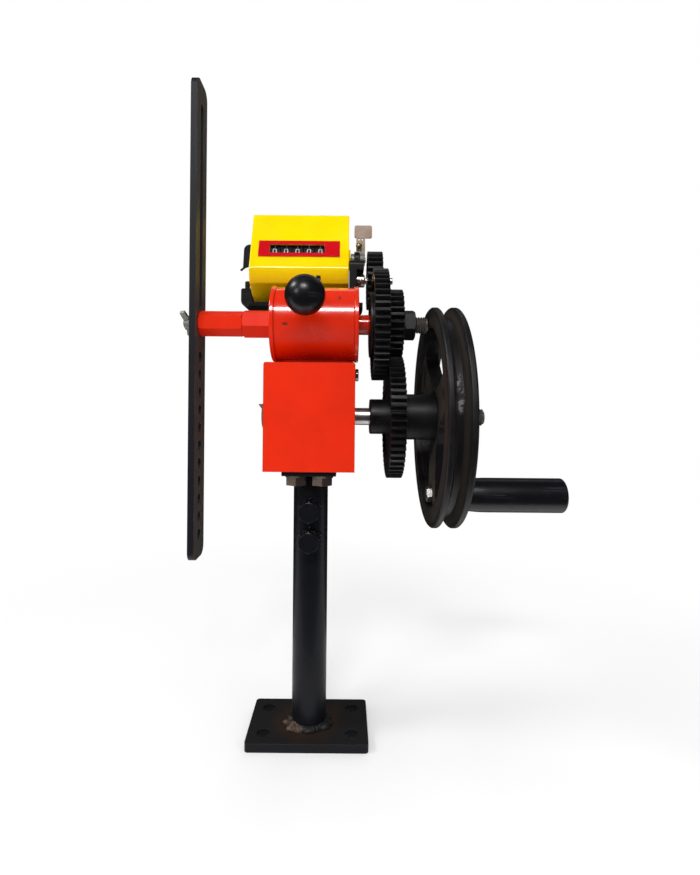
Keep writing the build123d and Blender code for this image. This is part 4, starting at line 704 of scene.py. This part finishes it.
class WINDER_OT_stand(WinderOperator, Operator):
    """Base plate, post and the weld between them"""

    bl_idname = "winder.stand"
    bl_label = "Stand"

    BEAD_RADIUS = 2.9 * MM
    # across, forwards, width, depth and height of each lump, in millimetres from the post's axis
    WELD_LUMPS = ((-9.6, 9.6, 5.2, 4.2, 3.2), (-15.2, 2.5, 3.6, 2.6, 1.8), (-12.6, 5.6, 3.4, 3.0, 2.6),
                  (0.8, 13.4, 4.6, 2.6, 2.4), (10.4, 8.6, 4.6, 3.4, 2.6), (13.6, 4.6, 3.2, 2.8, 1.9))
    # across, rise and size of each lump, in millimetres from the nut's axis
    NUT_LUMPS = ((-6.6, -3.4, 1.5), (-6.8, 1.6, 1.4), (6.5, 3.0, 1.6), (6.7, -2.6, 1.3), (0.6, 7.2, 1.4),
                 (-3.2, -7.0, 1.5))

    def build(self, context):
        softened("base_plate", "base_enamel", WIDE_EDGE, 3)
        softened("post_tube", "black_enamel", PLATE_EDGE)
        softened("clamp_nuts", "black_enamel", WORN_EDGE)
        softened("clamp_bolts", "black_enamel")
        self.weld_bead()
        for side in (0, 1):
            self.nut_bead(side)

    def weld_bead(self):
        """Low uneven bead round the post's foot, with the lumps where its runs end."""
        low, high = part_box("post_tube")
        radius = (high.x - low.x) / 2
        foot = low.z
        mesh = bmesh.new()
        bmesh.ops.create_circle(mesh, segments=14, radius=self.BEAD_RADIUS, matrix=Matrix.Translation(
            (radius + 0.4 * MM, 0, foot + 0.5 * MM)) @ Matrix.Rotation(math.pi / 2, 4, "X"))
        bmesh.ops.spin(mesh, geom=mesh.verts[:] + mesh.edges[:], cent=(0, 0, 0), axis=(0, 0, 1),
                       dvec=(0, 0, 0), angle=math.tau, steps=150, use_merge=True)
        bmesh.ops.remove_doubles(mesh, verts=mesh.verts, dist=SAME_PLACE)
        for vert in mesh.verts:
            angle = math.atan2(vert.co.y, vert.co.x)
            ripple = math.sin(angle * 34 + 2.5 * noise.noise(vert.co * 120))
            push = settings().weld_lump * (1.5 * noise.noise(vert.co * 130) + 0.2 * ripple)
            outwards = Vector((math.cos(angle), math.sin(angle), 0.3))
            vert.co += outwards * (push + 0.9 * MM * noise.noise(vert.co * 310))
        for across, forwards, wide, deep, tall in self.WELD_LUMPS:
            place = Matrix.Translation((across * MM, -forwards * MM, foot + 0.4 * MM))
            shape = Matrix.Diagonal((wide * MM, deep * MM, tall * MM, 1.0))
            lump = bmesh.ops.create_icosphere(mesh, subdivisions=4, radius=1.0, matrix=place @ shape)
            for vert in lump["verts"]:
                rough = noise.noise(vert.co * 190) + 0.5 * noise.noise(vert.co * 520)
                vert.co += Vector((0.9, 0.9, 0.8)) * rough * 0.9 * MM
        for vert in mesh.verts:
            vert.co.z = max(vert.co.z, foot - 0.2 * MM)
        bmesh.ops.recalc_face_normals(mesh, faces=mesh.faces)
        piece_from("post_weld_bead", mesh, "post_weld", "weld_metal")

    def nut_bead(self, side):
        """Small flat weld lumps that hold a nut to the post."""
        nuts = merged_copy("clamp_nuts")
        between = middle("clamp_nuts").z
        chosen = [vert.co for vert in nuts.verts if (vert.co.z > between) == bool(side)]
        centre_z = (min(co.z for co in chosen) + max(co.z for co in chosen)) / 2
        nuts.free()
        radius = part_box("post_tube")[1].x
        mesh = bmesh.new()
        for number, (across, rise, size) in enumerate(self.NUT_LUMPS):
            x = across * MM
            y = -math.sqrt(radius * radius - x * x)
            place = Matrix.Translation((x, y + 0.4 * MM, centre_z + rise * MM))
            lump = bmesh.ops.create_icosphere(mesh, subdivisions=3, radius=size * MM, matrix=place)
            for vert in lump["verts"]:
                vert.co += vert.normal * 0.3 * MM * noise.noise(vert.co * 420 + Vector((number, side, 0)))
        bmesh.ops.recalc_face_normals(mesh, faces=mesh.faces)
        piece_from(f"clamp_nut_weld_{side + 1}", mesh, "clamp_nuts", "black_enamel", replaces=False)


class WINDER_OT_head(WinderOperator, Operator):
    """Box, flange, saddle, back cover and their fasteners"""

    bl_idname = "winder.head"
    bl_label = "Head"

    def build(self, context):
        softened("head_stem", "bright_steel", PIN_EDGE)
        softened("head_flange", "black_enamel", PLATE_EDGE)
        softened("flange_bolts", "zinc", BLOCK_EDGE)
        softened("flange_washers", "zinc", THIN_EDGE)
        softened("flange_nuts", "zinc", PLATE_EDGE)
        softened("head_box", "red_enamel", BLOCK_EDGE, 3)
        softened("box_back_cover", "red_enamel", PLATE_EDGE)
        softened("head_screws", "bright_steel", PIN_EDGE)
        softened("housing_saddle", "red_enamel", PLATE_EDGE)
        self.saddle_bead()

    def saddle_bead(self):
        """Uneven bead of paint and filler along the seam between the box and the housing."""
        low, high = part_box("housing_saddle")
        left, right = (box.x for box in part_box("spindle_housing"))
        inset = 0.2 * MM
        centre = (low + high) / 2
        deep = 3.0 * MM
        tall = (high.z - low.z) / 2 + 0.5 * MM
        mesh = bmesh.new()
        bmesh.ops.create_cone(mesh, cap_ends=True, segments=16, radius1=1.0, radius2=1.0, depth=1.0,
                              matrix=Matrix.Rotation(math.pi / 2, 4, "Y"))
        lengthwise = [edge for edge in mesh.edges if abs(edge.verts[0].co.x - edge.verts[1].co.x) > 0.5]
        bmesh.ops.subdivide_edges(mesh, edges=lengthwise, cuts=119)
        for vert in mesh.verts:
            along, across, up = vert.co
            x = left + inset + (right - left - 2 * inset) * (along + 0.5)
            swell = 1.0 + 0.22 * noise.noise(Vector((x * 190, across, up)))
            vert.co = (x, centre.y + deep * swell * across, centre.z + tall * swell * up)
        bmesh.ops.recalc_face_normals(mesh, faces=mesh.faces)
        piece_from("housing_saddle_bead", mesh, "housing_saddle", "red_enamel", replaces=False)


class WINDER_OT_housing(WinderOperator, Operator):
    """Round spindle housing, its end caps and the brake's ears"""

    bl_idname = "winder.housing"
    bl_label = "Spindle housing"

    def build(self, context):
        softened("spindle_housing", "red_gloss")
        softened("housing_caps", "red_gloss", PLATE_EDGE)
        softened("brake_lug", "black_enamel", BLOCK_EDGE, 3)
        softened("brake_pivot_pin", "bright_steel", PIN_EDGE)
        softened("spindle_collar", "red_gloss", BLOCK_EDGE)
        for rings in ("bearing_outer_rings", "spindle_inner_rings", "input_inner_rings"):
            softened(rings, "bright_steel", THIN_EDGE)


class WINDER_OT_brake(WinderOperator, Operator):
    """Brake rod and its ball"""

    bl_idname = "winder.brake"
    bl_label = "Brake lever"

    def build(self, context):
        softened("brake_rod", "black_enamel", BLOCK_EDGE, 3)
        low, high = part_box("ball_knob")
        mesh = bmesh.new()
        bmesh.ops.create_uvsphere(mesh, u_segments=96, v_segments=48, radius=(high.x - low.x) / 2,
                                  matrix=Matrix.Translation((low + high) / 2))
        piece_from("ball_knob_moulded", mesh, "ball_knob", "gloss_plastic")


class WINDER_OT_spindle(WinderOperator, Operator):
    """Spindle shaft, hexagonal sleeves, former arm and wing nut"""

    bl_idname = "winder.spindle"
    bl_label = "Spindle"

    def build(self, context):
        softened("hex_sleeve_large", "red_enamel", BLOCK_EDGE, 3)
        softened("hex_sleeve_small", "red_enamel", BLOCK_EDGE, 3)
        softened("former_arm", "arm_enamel", WORN_EDGE)
        softened("wing_nut", "galvanised", PLATE_EDGE)
        softened("spindle_washers", "galvanised", THIN_EDGE)
        softened("spindle_nut", "gear_steel", PLATE_EDGE)
        low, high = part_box("spindle_shaft")
        arm_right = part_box("former_arm")[1].x
        thread_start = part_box("spindle_washers")[1].x - 1 * MM
        plain = [(low.x, 0), (low.x, ARM_STUD_RADIUS), (arm_right, ARM_STUD_RADIUS),
                 (arm_right, SHAFT_RADIUS), (thread_start, SHAFT_RADIUS), (thread_start, 0)]
        mesh = turned(rounded_profile(plain, settings().edge), SPINDLE)
        join_into(mesh, threaded(thread_start, high.x, SHAFT_RADIUS, SPINDLE, settings().thread_pitch))
        piece_from("spindle_shaft_threaded", mesh, "spindle_shaft", "thread_steel")


class WINDER_OT_gears(WinderOperator, Operator):
    """Gear train with worn tooth edges"""

    bl_idname = "winder.gears"
    bl_label = "Gears"

    def build(self, context):
        for node in ("spindle_gear_large", "spindle_gear_small", "input_gear", "counter_gear"):
            softened(node, "gear_steel", TOOTH_EDGE, 1)
        softened("gear_flange", "gear_steel")
        softened("gear_set_screw", "gear_steel", PIN_EDGE)


class WINDER_OT_crank(WinderOperator, Operator):
    """Input shaft, handwheel, crank bolt and nuts"""

    bl_idname = "winder.crank"
    bl_label = "Crank"

    def build(self, context):
        low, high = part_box("input_shaft")
        thread_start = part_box("handwheel")[1].x + 1 * MM
        plain = [(low.x, 0), (low.x, SHAFT_RADIUS), (thread_start, SHAFT_RADIUS), (thread_start, 0)]
        mesh = turned(rounded_profile(plain, WIDE_EDGE), INPUT)
        piece_from("input_shaft_ground", mesh, "input_shaft", "bright_steel")
        mesh = threaded(thread_start - 3 * MM, high.x, SHAFT_RADIUS, INPUT, settings().thread_pitch)
        piece_from("input_shaft_thread", mesh, "input_shaft", "thread_steel", replaces=False)
        softened("crank_nuts", "zinc", PLATE_EDGE)
        softened("shaft_washers", "zinc", THIN_EDGE)
        softened("handle_bolt", "bright_steel", PLATE_EDGE)
        softened("handwheel", "cast_enamel", settings().cast_edge, 3)


class WINDER_OT_grip(WinderOperator, Operator):
    """Turned grip of the crank"""

    bl_idname = "winder.grip"
    bl_label = "Grip"

    NECK_SHARE = 0.87
    TAPER_SHARE = 0.3
    TAPER_STEPS = 24
    CHAMFER = 1.2 * MM

    def build(self, context):
        low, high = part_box("handle_grip")
        radius = (high.z - low.z) / 2
        neck = radius * self.NECK_SHARE
        taper = (high.x - low.x) * self.TAPER_SHARE
        outline = [(low.x, 0), (low.x, neck)]
        for step in range(1, self.TAPER_STEPS + 1):
            along = step / self.TAPER_STEPS
            swell = math.sin(along * math.pi / 2) ** 1.4
            outline.append((low.x + along * taper, neck + (radius - neck) * swell))
        outline += [(high.x - self.CHAMFER, radius), (high.x, radius - self.CHAMFER), (high.x, 0)]
        mesh = turned(outline, middle("handle_grip"))
        round_edges(mesh, BLOCK_EDGE, 3)
        piece_from("handle_grip_turned", mesh, "handle_grip", "gloss_plastic")


class WINDER_OT_counter(WinderOperator, Operator):
    """Counter's base, case, bushes, shaft and shelf"""

    bl_idname = "winder.counter"
    bl_label = "Counter body"

    # start from the reset lever's left side and width of each washer, in millimetres
    WASHERS = ((-2.8, 3.2), (4.2, 3.8))
    WASHER_RADIUS = 5.0 * MM
    # from the reset lever's left side and the number axle
    STUD_PLACE = Vector((3.6, -3.6, 10.6)) * MM
    STUD_RADIUS = 2.5 * MM

    def build(self, context):
        softened("counter_bracket", "black_enamel", PLATE_EDGE)
        softened("counter_base", "matte_plastic", BLOCK_EDGE)
        softened("counter_case", "matte_plastic", BLOCK_EDGE)
        softened("counter_bushes", "nickel", PLATE_EDGE)
        softened("counter_side_clip", "black_enamel")
        softened("number_axle", "bright_steel", PIN_EDGE)
        softened("counter_shaft", "bright_steel", PIN_EDGE)
        softened("reset_lever", "lever_steel")
        lever_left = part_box("reset_lever")[0].x
        self.lever_stud(lever_left)
        self.lever_washers(lever_left)

    def lever_washers(self, left):
        """Thick plain washers on the number axle, one at each side of the lever's hub."""
        mesh = bmesh.new()
        for from_left, width in self.WASHERS:
            start = left + from_left * MM
            end = start + width * MM
            corners = [(start, 0), (start, self.WASHER_RADIUS), (end, self.WASHER_RADIUS), (end, 0)]
            join_into(mesh, turned(rounded_profile(corners, BLOCK_EDGE), NUMBER_AXLE))
        piece_from("reset_lever_washers", mesh, "reset_lever", "galvanised", replaces=False)

    def lever_stud(self, left):
        """Small dull brass stud on the foot of the reset lever's stem."""
        foot = Vector((left, NUMBER_AXLE.y, NUMBER_AXLE.z)) + self.STUD_PLACE
        mesh = bmesh.new()
        bmesh.ops.create_uvsphere(mesh, u_segments=40, v_segments=20, radius=self.STUD_RADIUS)
        for vert in mesh.verts:
            flat = 0.55 if vert.co.y > 0 else 0.8
            vert.co = foot + Vector((vert.co.x, vert.co.y * flat, vert.co.z * 0.95))
        bmesh.ops.recalc_face_normals(mesh, faces=mesh.faces)
        piece_from("reset_lever_stud", mesh, "reset_lever", "old_brass", replaces=False)


class WINDER_OT_counter_cover(WinderOperator, Operator):
    """Counter's cover, plate and window"""

    bl_idname = "winder.counter_cover"
    bl_label = "Counter cover"

    def build(self, context):
        softened("counter_cover", "yellow_enamel", WIDE_EDGE, 3)
        softened("counter_bezel", "plate_enamel", THIN_EDGE)
        softened("counter_window", "clear_pane", 0.1 * MM)


class WINDER_OT_number_wheels(WinderOperator, Operator):
    """Number wheels with their digits"""

    bl_idname = "winder.number_wheels"
    bl_label = "Number wheels"

    # turn of the wheels from the window's middle, which hides the digits' feet
    BELOW_WINDOW = math.radians(1.5)
    # the digits' strokes, how far they stand up, and how deep their backs sit in the wheel
    STROKE = 0.7 * MM
    BOLDER = 0.12 * MM
    RELIEF = 0.16 * MM
    SUNK = 0.1 * MM
    # shares: a 0's width of its height, a wrapped digit's of its flat one, and a font's digit of its size
    ZERO_WIDTH = 0.7
    WRAPPED_WIDTH = 0.92
    FONT_DIGIT = 0.7
    SQUARENESS = 0.6

    def build(self, context):
        window = middle("counter_window")
        outwards = Vector((0, window.y - NUMBER_AXLE.y, window.z - NUMBER_AXLE.z))
        window_angle = math.atan2(outwards.z, outwards.y) + self.BELOW_WINDOW
        shapes = [self.zero_shape()] + [self.digit_shape(str(number)) for number in range(1, 10)]
        for number in range(1, 6):
            node = f"number_wheel_{number}"
            softened(node, "wheel_plastic", THIN_EDGE)
            low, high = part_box(node)
            radius = (high.z - low.z) / 2
            mesh = bmesh.new()
            for digit, shape in enumerate(shapes):
                angle = window_angle - digit * math.tau / 10
                self.wrap(mesh, shape, (low.x + high.x) / 2, radius, angle)
            bmesh.ops.recalc_face_normals(mesh, faces=mesh.faces)
            piece_from(f"{node}_digits", mesh, node, "digit_white", replaces=False, smooth=False)
        for shape in shapes:
            bpy.data.meshes.remove(shape)

    def zero_shape(self):
        """Flat narrow ring with square shoulders, the wheels' 0."""
        tall = settings().digit_height / 2
        mesh = bmesh.new()
        for inwards in (0.0, self.STROKE):
            half = Vector((tall * self.ZERO_WIDTH - inwards, tall - inwards))
            ring = bmesh.ops.create_circle(mesh, segments=72, radius=1.0)
            for vert in ring["verts"]:
                across, up = (math.copysign(abs(part) ** self.SQUARENESS, part) for part in vert.co.xy)
                vert.co = (half.x * across, half.y * up, 0)
        bmesh.ops.bridge_loops(mesh, edges=mesh.edges[:])
        return self.raised_shape(mesh, bpy.data.meshes.new("digit"))

    def digit_shape(self, text):
        """Flat mesh of one digit, cut in strips across its height, centred on the origin."""
        curve = bpy.data.curves.new("digit", "FONT")
        curve.body = text
        curve.size = settings().digit_height / self.FONT_DIGIT
        curve.align_x = "CENTER"
        curve.resolution_u = 3
        curve.offset = self.BOLDER
        holder = bpy.data.objects.new("digit", curve)
        mesh = bmesh.new()
        flat = bpy.data.meshes.new_from_object(holder)
        mesh.from_mesh(flat)
        bpy.data.objects.remove(holder)
        bpy.data.curves.remove(curve)
        bmesh.ops.remove_doubles(mesh, verts=mesh.verts, dist=SAME_PLACE)
        bmesh.ops.dissolve_limit(mesh, angle_limit=FLAT, verts=mesh.verts, edges=mesh.edges)
        half = settings().digit_height / 2
        bmesh.ops.translate(mesh, verts=mesh.verts, vec=(0, -half, 0))
        for cut in range(-5, 6):
            bmesh.ops.bisect_plane(mesh, geom=mesh.verts[:] + mesh.edges[:] + mesh.faces[:],
                                   plane_co=(0, cut * half / 5, 0), plane_no=(0, 1, 0))
        return self.raised_shape(mesh, flat)

    def raised_shape(self, mesh, flat):
        """Give a flat digit its thickness and store it in a mesh."""
        raised = bmesh.ops.extrude_face_region(mesh, geom=mesh.faces[:])
        tops = [item for item in raised["geom"] if isinstance(item, bmesh.types.BMVert)]
        bmesh.ops.translate(mesh, verts=tops, vec=(0, 0, self.RELIEF))
        bmesh.ops.triangulate(mesh, faces=mesh.faces)
        mesh.to_mesh(flat)
        mesh.free()
        return flat

    def wrap(self, mesh, shape, x, radius, angle):
        """Bend a digit round a wheel; its foot points along growing angles towards the front."""
        first = len(mesh.verts)
        mesh.from_mesh(shape)
        mesh.verts.ensure_lookup_table()
        for vert in mesh.verts[first:]:
            turn = angle - vert.co.y / radius
            reach = radius + vert.co.z - self.SUNK
            vert.co = Vector((x + vert.co.x * self.WRAPPED_WIDTH, NUMBER_AXLE.y + reach * math.cos(turn),
                              NUMBER_AXLE.z + reach * math.sin(turn)))


# ---- stage ----
class WINDER_OT_stage(WinderOperator, Operator):
    """Floor, lamps, world and camera"""

    bl_idname = "winder.stage"
    bl_label = "Stage"

    FOCAL_PIXELS = 520.0
    LONG_SIDE_PIXELS = 875.0
    SENSOR = 36.0
    AXIS_RIGHT_OF_MIDDLE = -5.0
    AXIS_ABOVE_MIDDLE = 37.5
    EYE = Vector((0.0235, -0.367, 0.232))
    ROLL = 0.5
    AIM = Vector((0.04, 0.0, 0.24))
    # name, place, size, power, and whether reflections show it
    LAMPS = (
        ("window", (-1.0, -0.2, 1.2), (0.3, 0.3), 6.5, True),
        ("front", (-0.08, -1.08, 1.17), (0.5, 0.19), 10.0, True),
        ("side", (-0.92, -1.0, 0.6), (0.3, 0.3), 2.5, True),
        ("overhead", (0.1, 0.1, 1.6), (1.0, 1.0), 6.5, False),
        ("fill", (1.15, -0.85, 0.65), (0.9, 0.9), 3.5, False),
        ("back", (0.5, 1.2, 0.9), (1.0, 1.0), 4.0, False))
    # name, place, quarter turns about X and Y, and size
    FLAGS = (
        ("flag_front", (0, -1.7, 1.1), (1, 0), (3.6, 2.2)),
        ("flag_back", (0, 1.7, 1.1), (1, 0), (3.6, 2.2)),
        ("flag_left", (-1.8, 0, 1.1), (0, 1), (2.2, 3.4)),
        ("flag_right", (1.8, 0, 1.1), (0, 1), (2.2, 3.4)),
        ("flag_above", (0, -0.2, 2.2), (0, 0), (3.6, 3.0)),
        ("flag_near", (0, -0.9, 0.012), (0, 0), (3.6, 1.6)),
        ("flag_behind", (0, 0.9, 0.012), (0, 0), (3.6, 1.6)))

    def build(self, context):
        self.floor()
        self.world()
        for lamp in self.LAMPS:
            self.lamp(*lamp)
        for flag in self.FLAGS:
            self.flag(*flag)
        self.camera()

    def flag(self, name, place, turns, size):
        """Dark cloth on a stand, which only reflections see and which throws no shadow."""
        angles = Euler((turns[0] * math.pi / 2, turns[1] * math.pi / 2, 0))
        matrix = Matrix.LocRotScale(Vector(place), angles, Vector((*size, 1)))
        cloth = self.sheet(name, 0.5, matrix, "flag_cloth")
        for ray in ("camera", "diffuse", "transmission", "shadow"):
            setattr(cloth, f"visible_{ray}", False)

    def sheet(self, name, half_size, matrix, finish):
        """A flat square that belongs to the stage."""
        mesh = bmesh.new()
        bmesh.ops.create_grid(mesh, x_segments=1, y_segments=1, size=half_size, matrix=matrix)
        sheet = linked(name, mesh)
        sheet.data.materials.append(finish_named(finish))
        return sheet

    def lamp(self, name, place, size, power, glints):
        data = bpy.data.lights.new(name, "AREA")
        data.shape = "RECTANGLE"
        data.size, data.size_y = size
        data.energy = power * settings().lamp
        lamp = bpy.data.objects.new(name, data)
        lamp.location = place
        lamp.rotation_euler = (self.AIM - lamp.location).to_track_quat("-Z", "Y").to_euler()
        lamp.visible_glossy = glints
        bpy.context.scene.collection.objects.link(lamp)

    def world(self):
        """White wherever the room is seen, and a soft light on everything else."""
        world = bpy.data.worlds.new("studio")
        world.use_nodes = True
        bpy.context.scene.world = world
        nodes = Nodes(world.node_tree)
        level = nodes.add("ShaderNodeMapRange", {}, {"Value": nodes.seen(), "To Min": 0.4, "To Max": 1.0})
        back = nodes.tree.nodes["Background"]
        nodes.feed(back.inputs["Color"], (1.0, 1.0, 1.0))
        nodes.feed(back.inputs["Strength"], level)

    def floor(self):
        self.sheet("floor", 4.0, Matrix.Identity(4), "floor_paper")

    def camera(self):
        data = bpy.data.cameras.new("camera")
        data.lens = self.FOCAL_PIXELS / self.LONG_SIDE_PIXELS * self.SENSOR
        data.sensor_width = self.SENSOR
        data.shift_x = -self.AXIS_RIGHT_OF_MIDDLE / self.LONG_SIDE_PIXELS
        data.shift_y = -self.AXIS_ABOVE_MIDDLE / self.LONG_SIDE_PIXELS
        data.clip_start = 0.01
        camera = bpy.data.objects.new("camera", data)
        camera.location = self.EYE
        camera.rotation_euler = (math.pi / 2, -math.radians(self.ROLL), 0)
        bpy.context.scene.collection.objects.link(camera)
        bpy.context.scene.camera = camera


OPERATORS = (
    WINDER_OT_stand,
    WINDER_OT_head,
    WINDER_OT_housing,
    WINDER_OT_brake,
    WINDER_OT_spindle,
    WINDER_OT_gears,
    WINDER_OT_crank,
    WINDER_OT_grip,
    WINDER_OT_counter,
    WINDER_OT_counter_cover,
    WINDER_OT_number_wheels,
    WINDER_OT_stage,
)


class WINDER_PT_pieces(Panel):
    """Lists the machine's groups of pieces"""

    bl_idname = "WINDER_PT_pieces"
    bl_label = "Coil winding machine"
    bl_space_type = "VIEW_3D"
    bl_region_type = "UI"
    bl_category = "Winder"

    def draw(self, context):
        column = self.layout.column()
        for name in WinderSettings.__annotations__:
            column.prop(context.scene.winder, name)
        for operator in OPERATORS:
            column.operator(operator.bl_idname)


CLASSES = (WinderSettings, *OPERATORS, WINDER_PT_pieces)


def register():
    for item in CLASSES:
        bpy.utils.register_class(item)
    bpy.types.Scene.winder = PointerProperty(type=WinderSettings)


def unregister():
    del bpy.types.Scene.winder
    for item in reversed(CLASSES):
        bpy.utils.unregister_class(item)


def plain(box):
    """A box's two corners as plain lists of numbers."""
    return [[float(value) for value in corner] for corner in box]


def main():
    bpy.context.scene.view_settings.view_transform = "Standard"
    register()
    for operator in OPERATORS:
        group, name = operator.bl_idname.split(".")
        getattr(getattr(bpy.ops, group), name)()


if __name__ == "__main__":
    main()
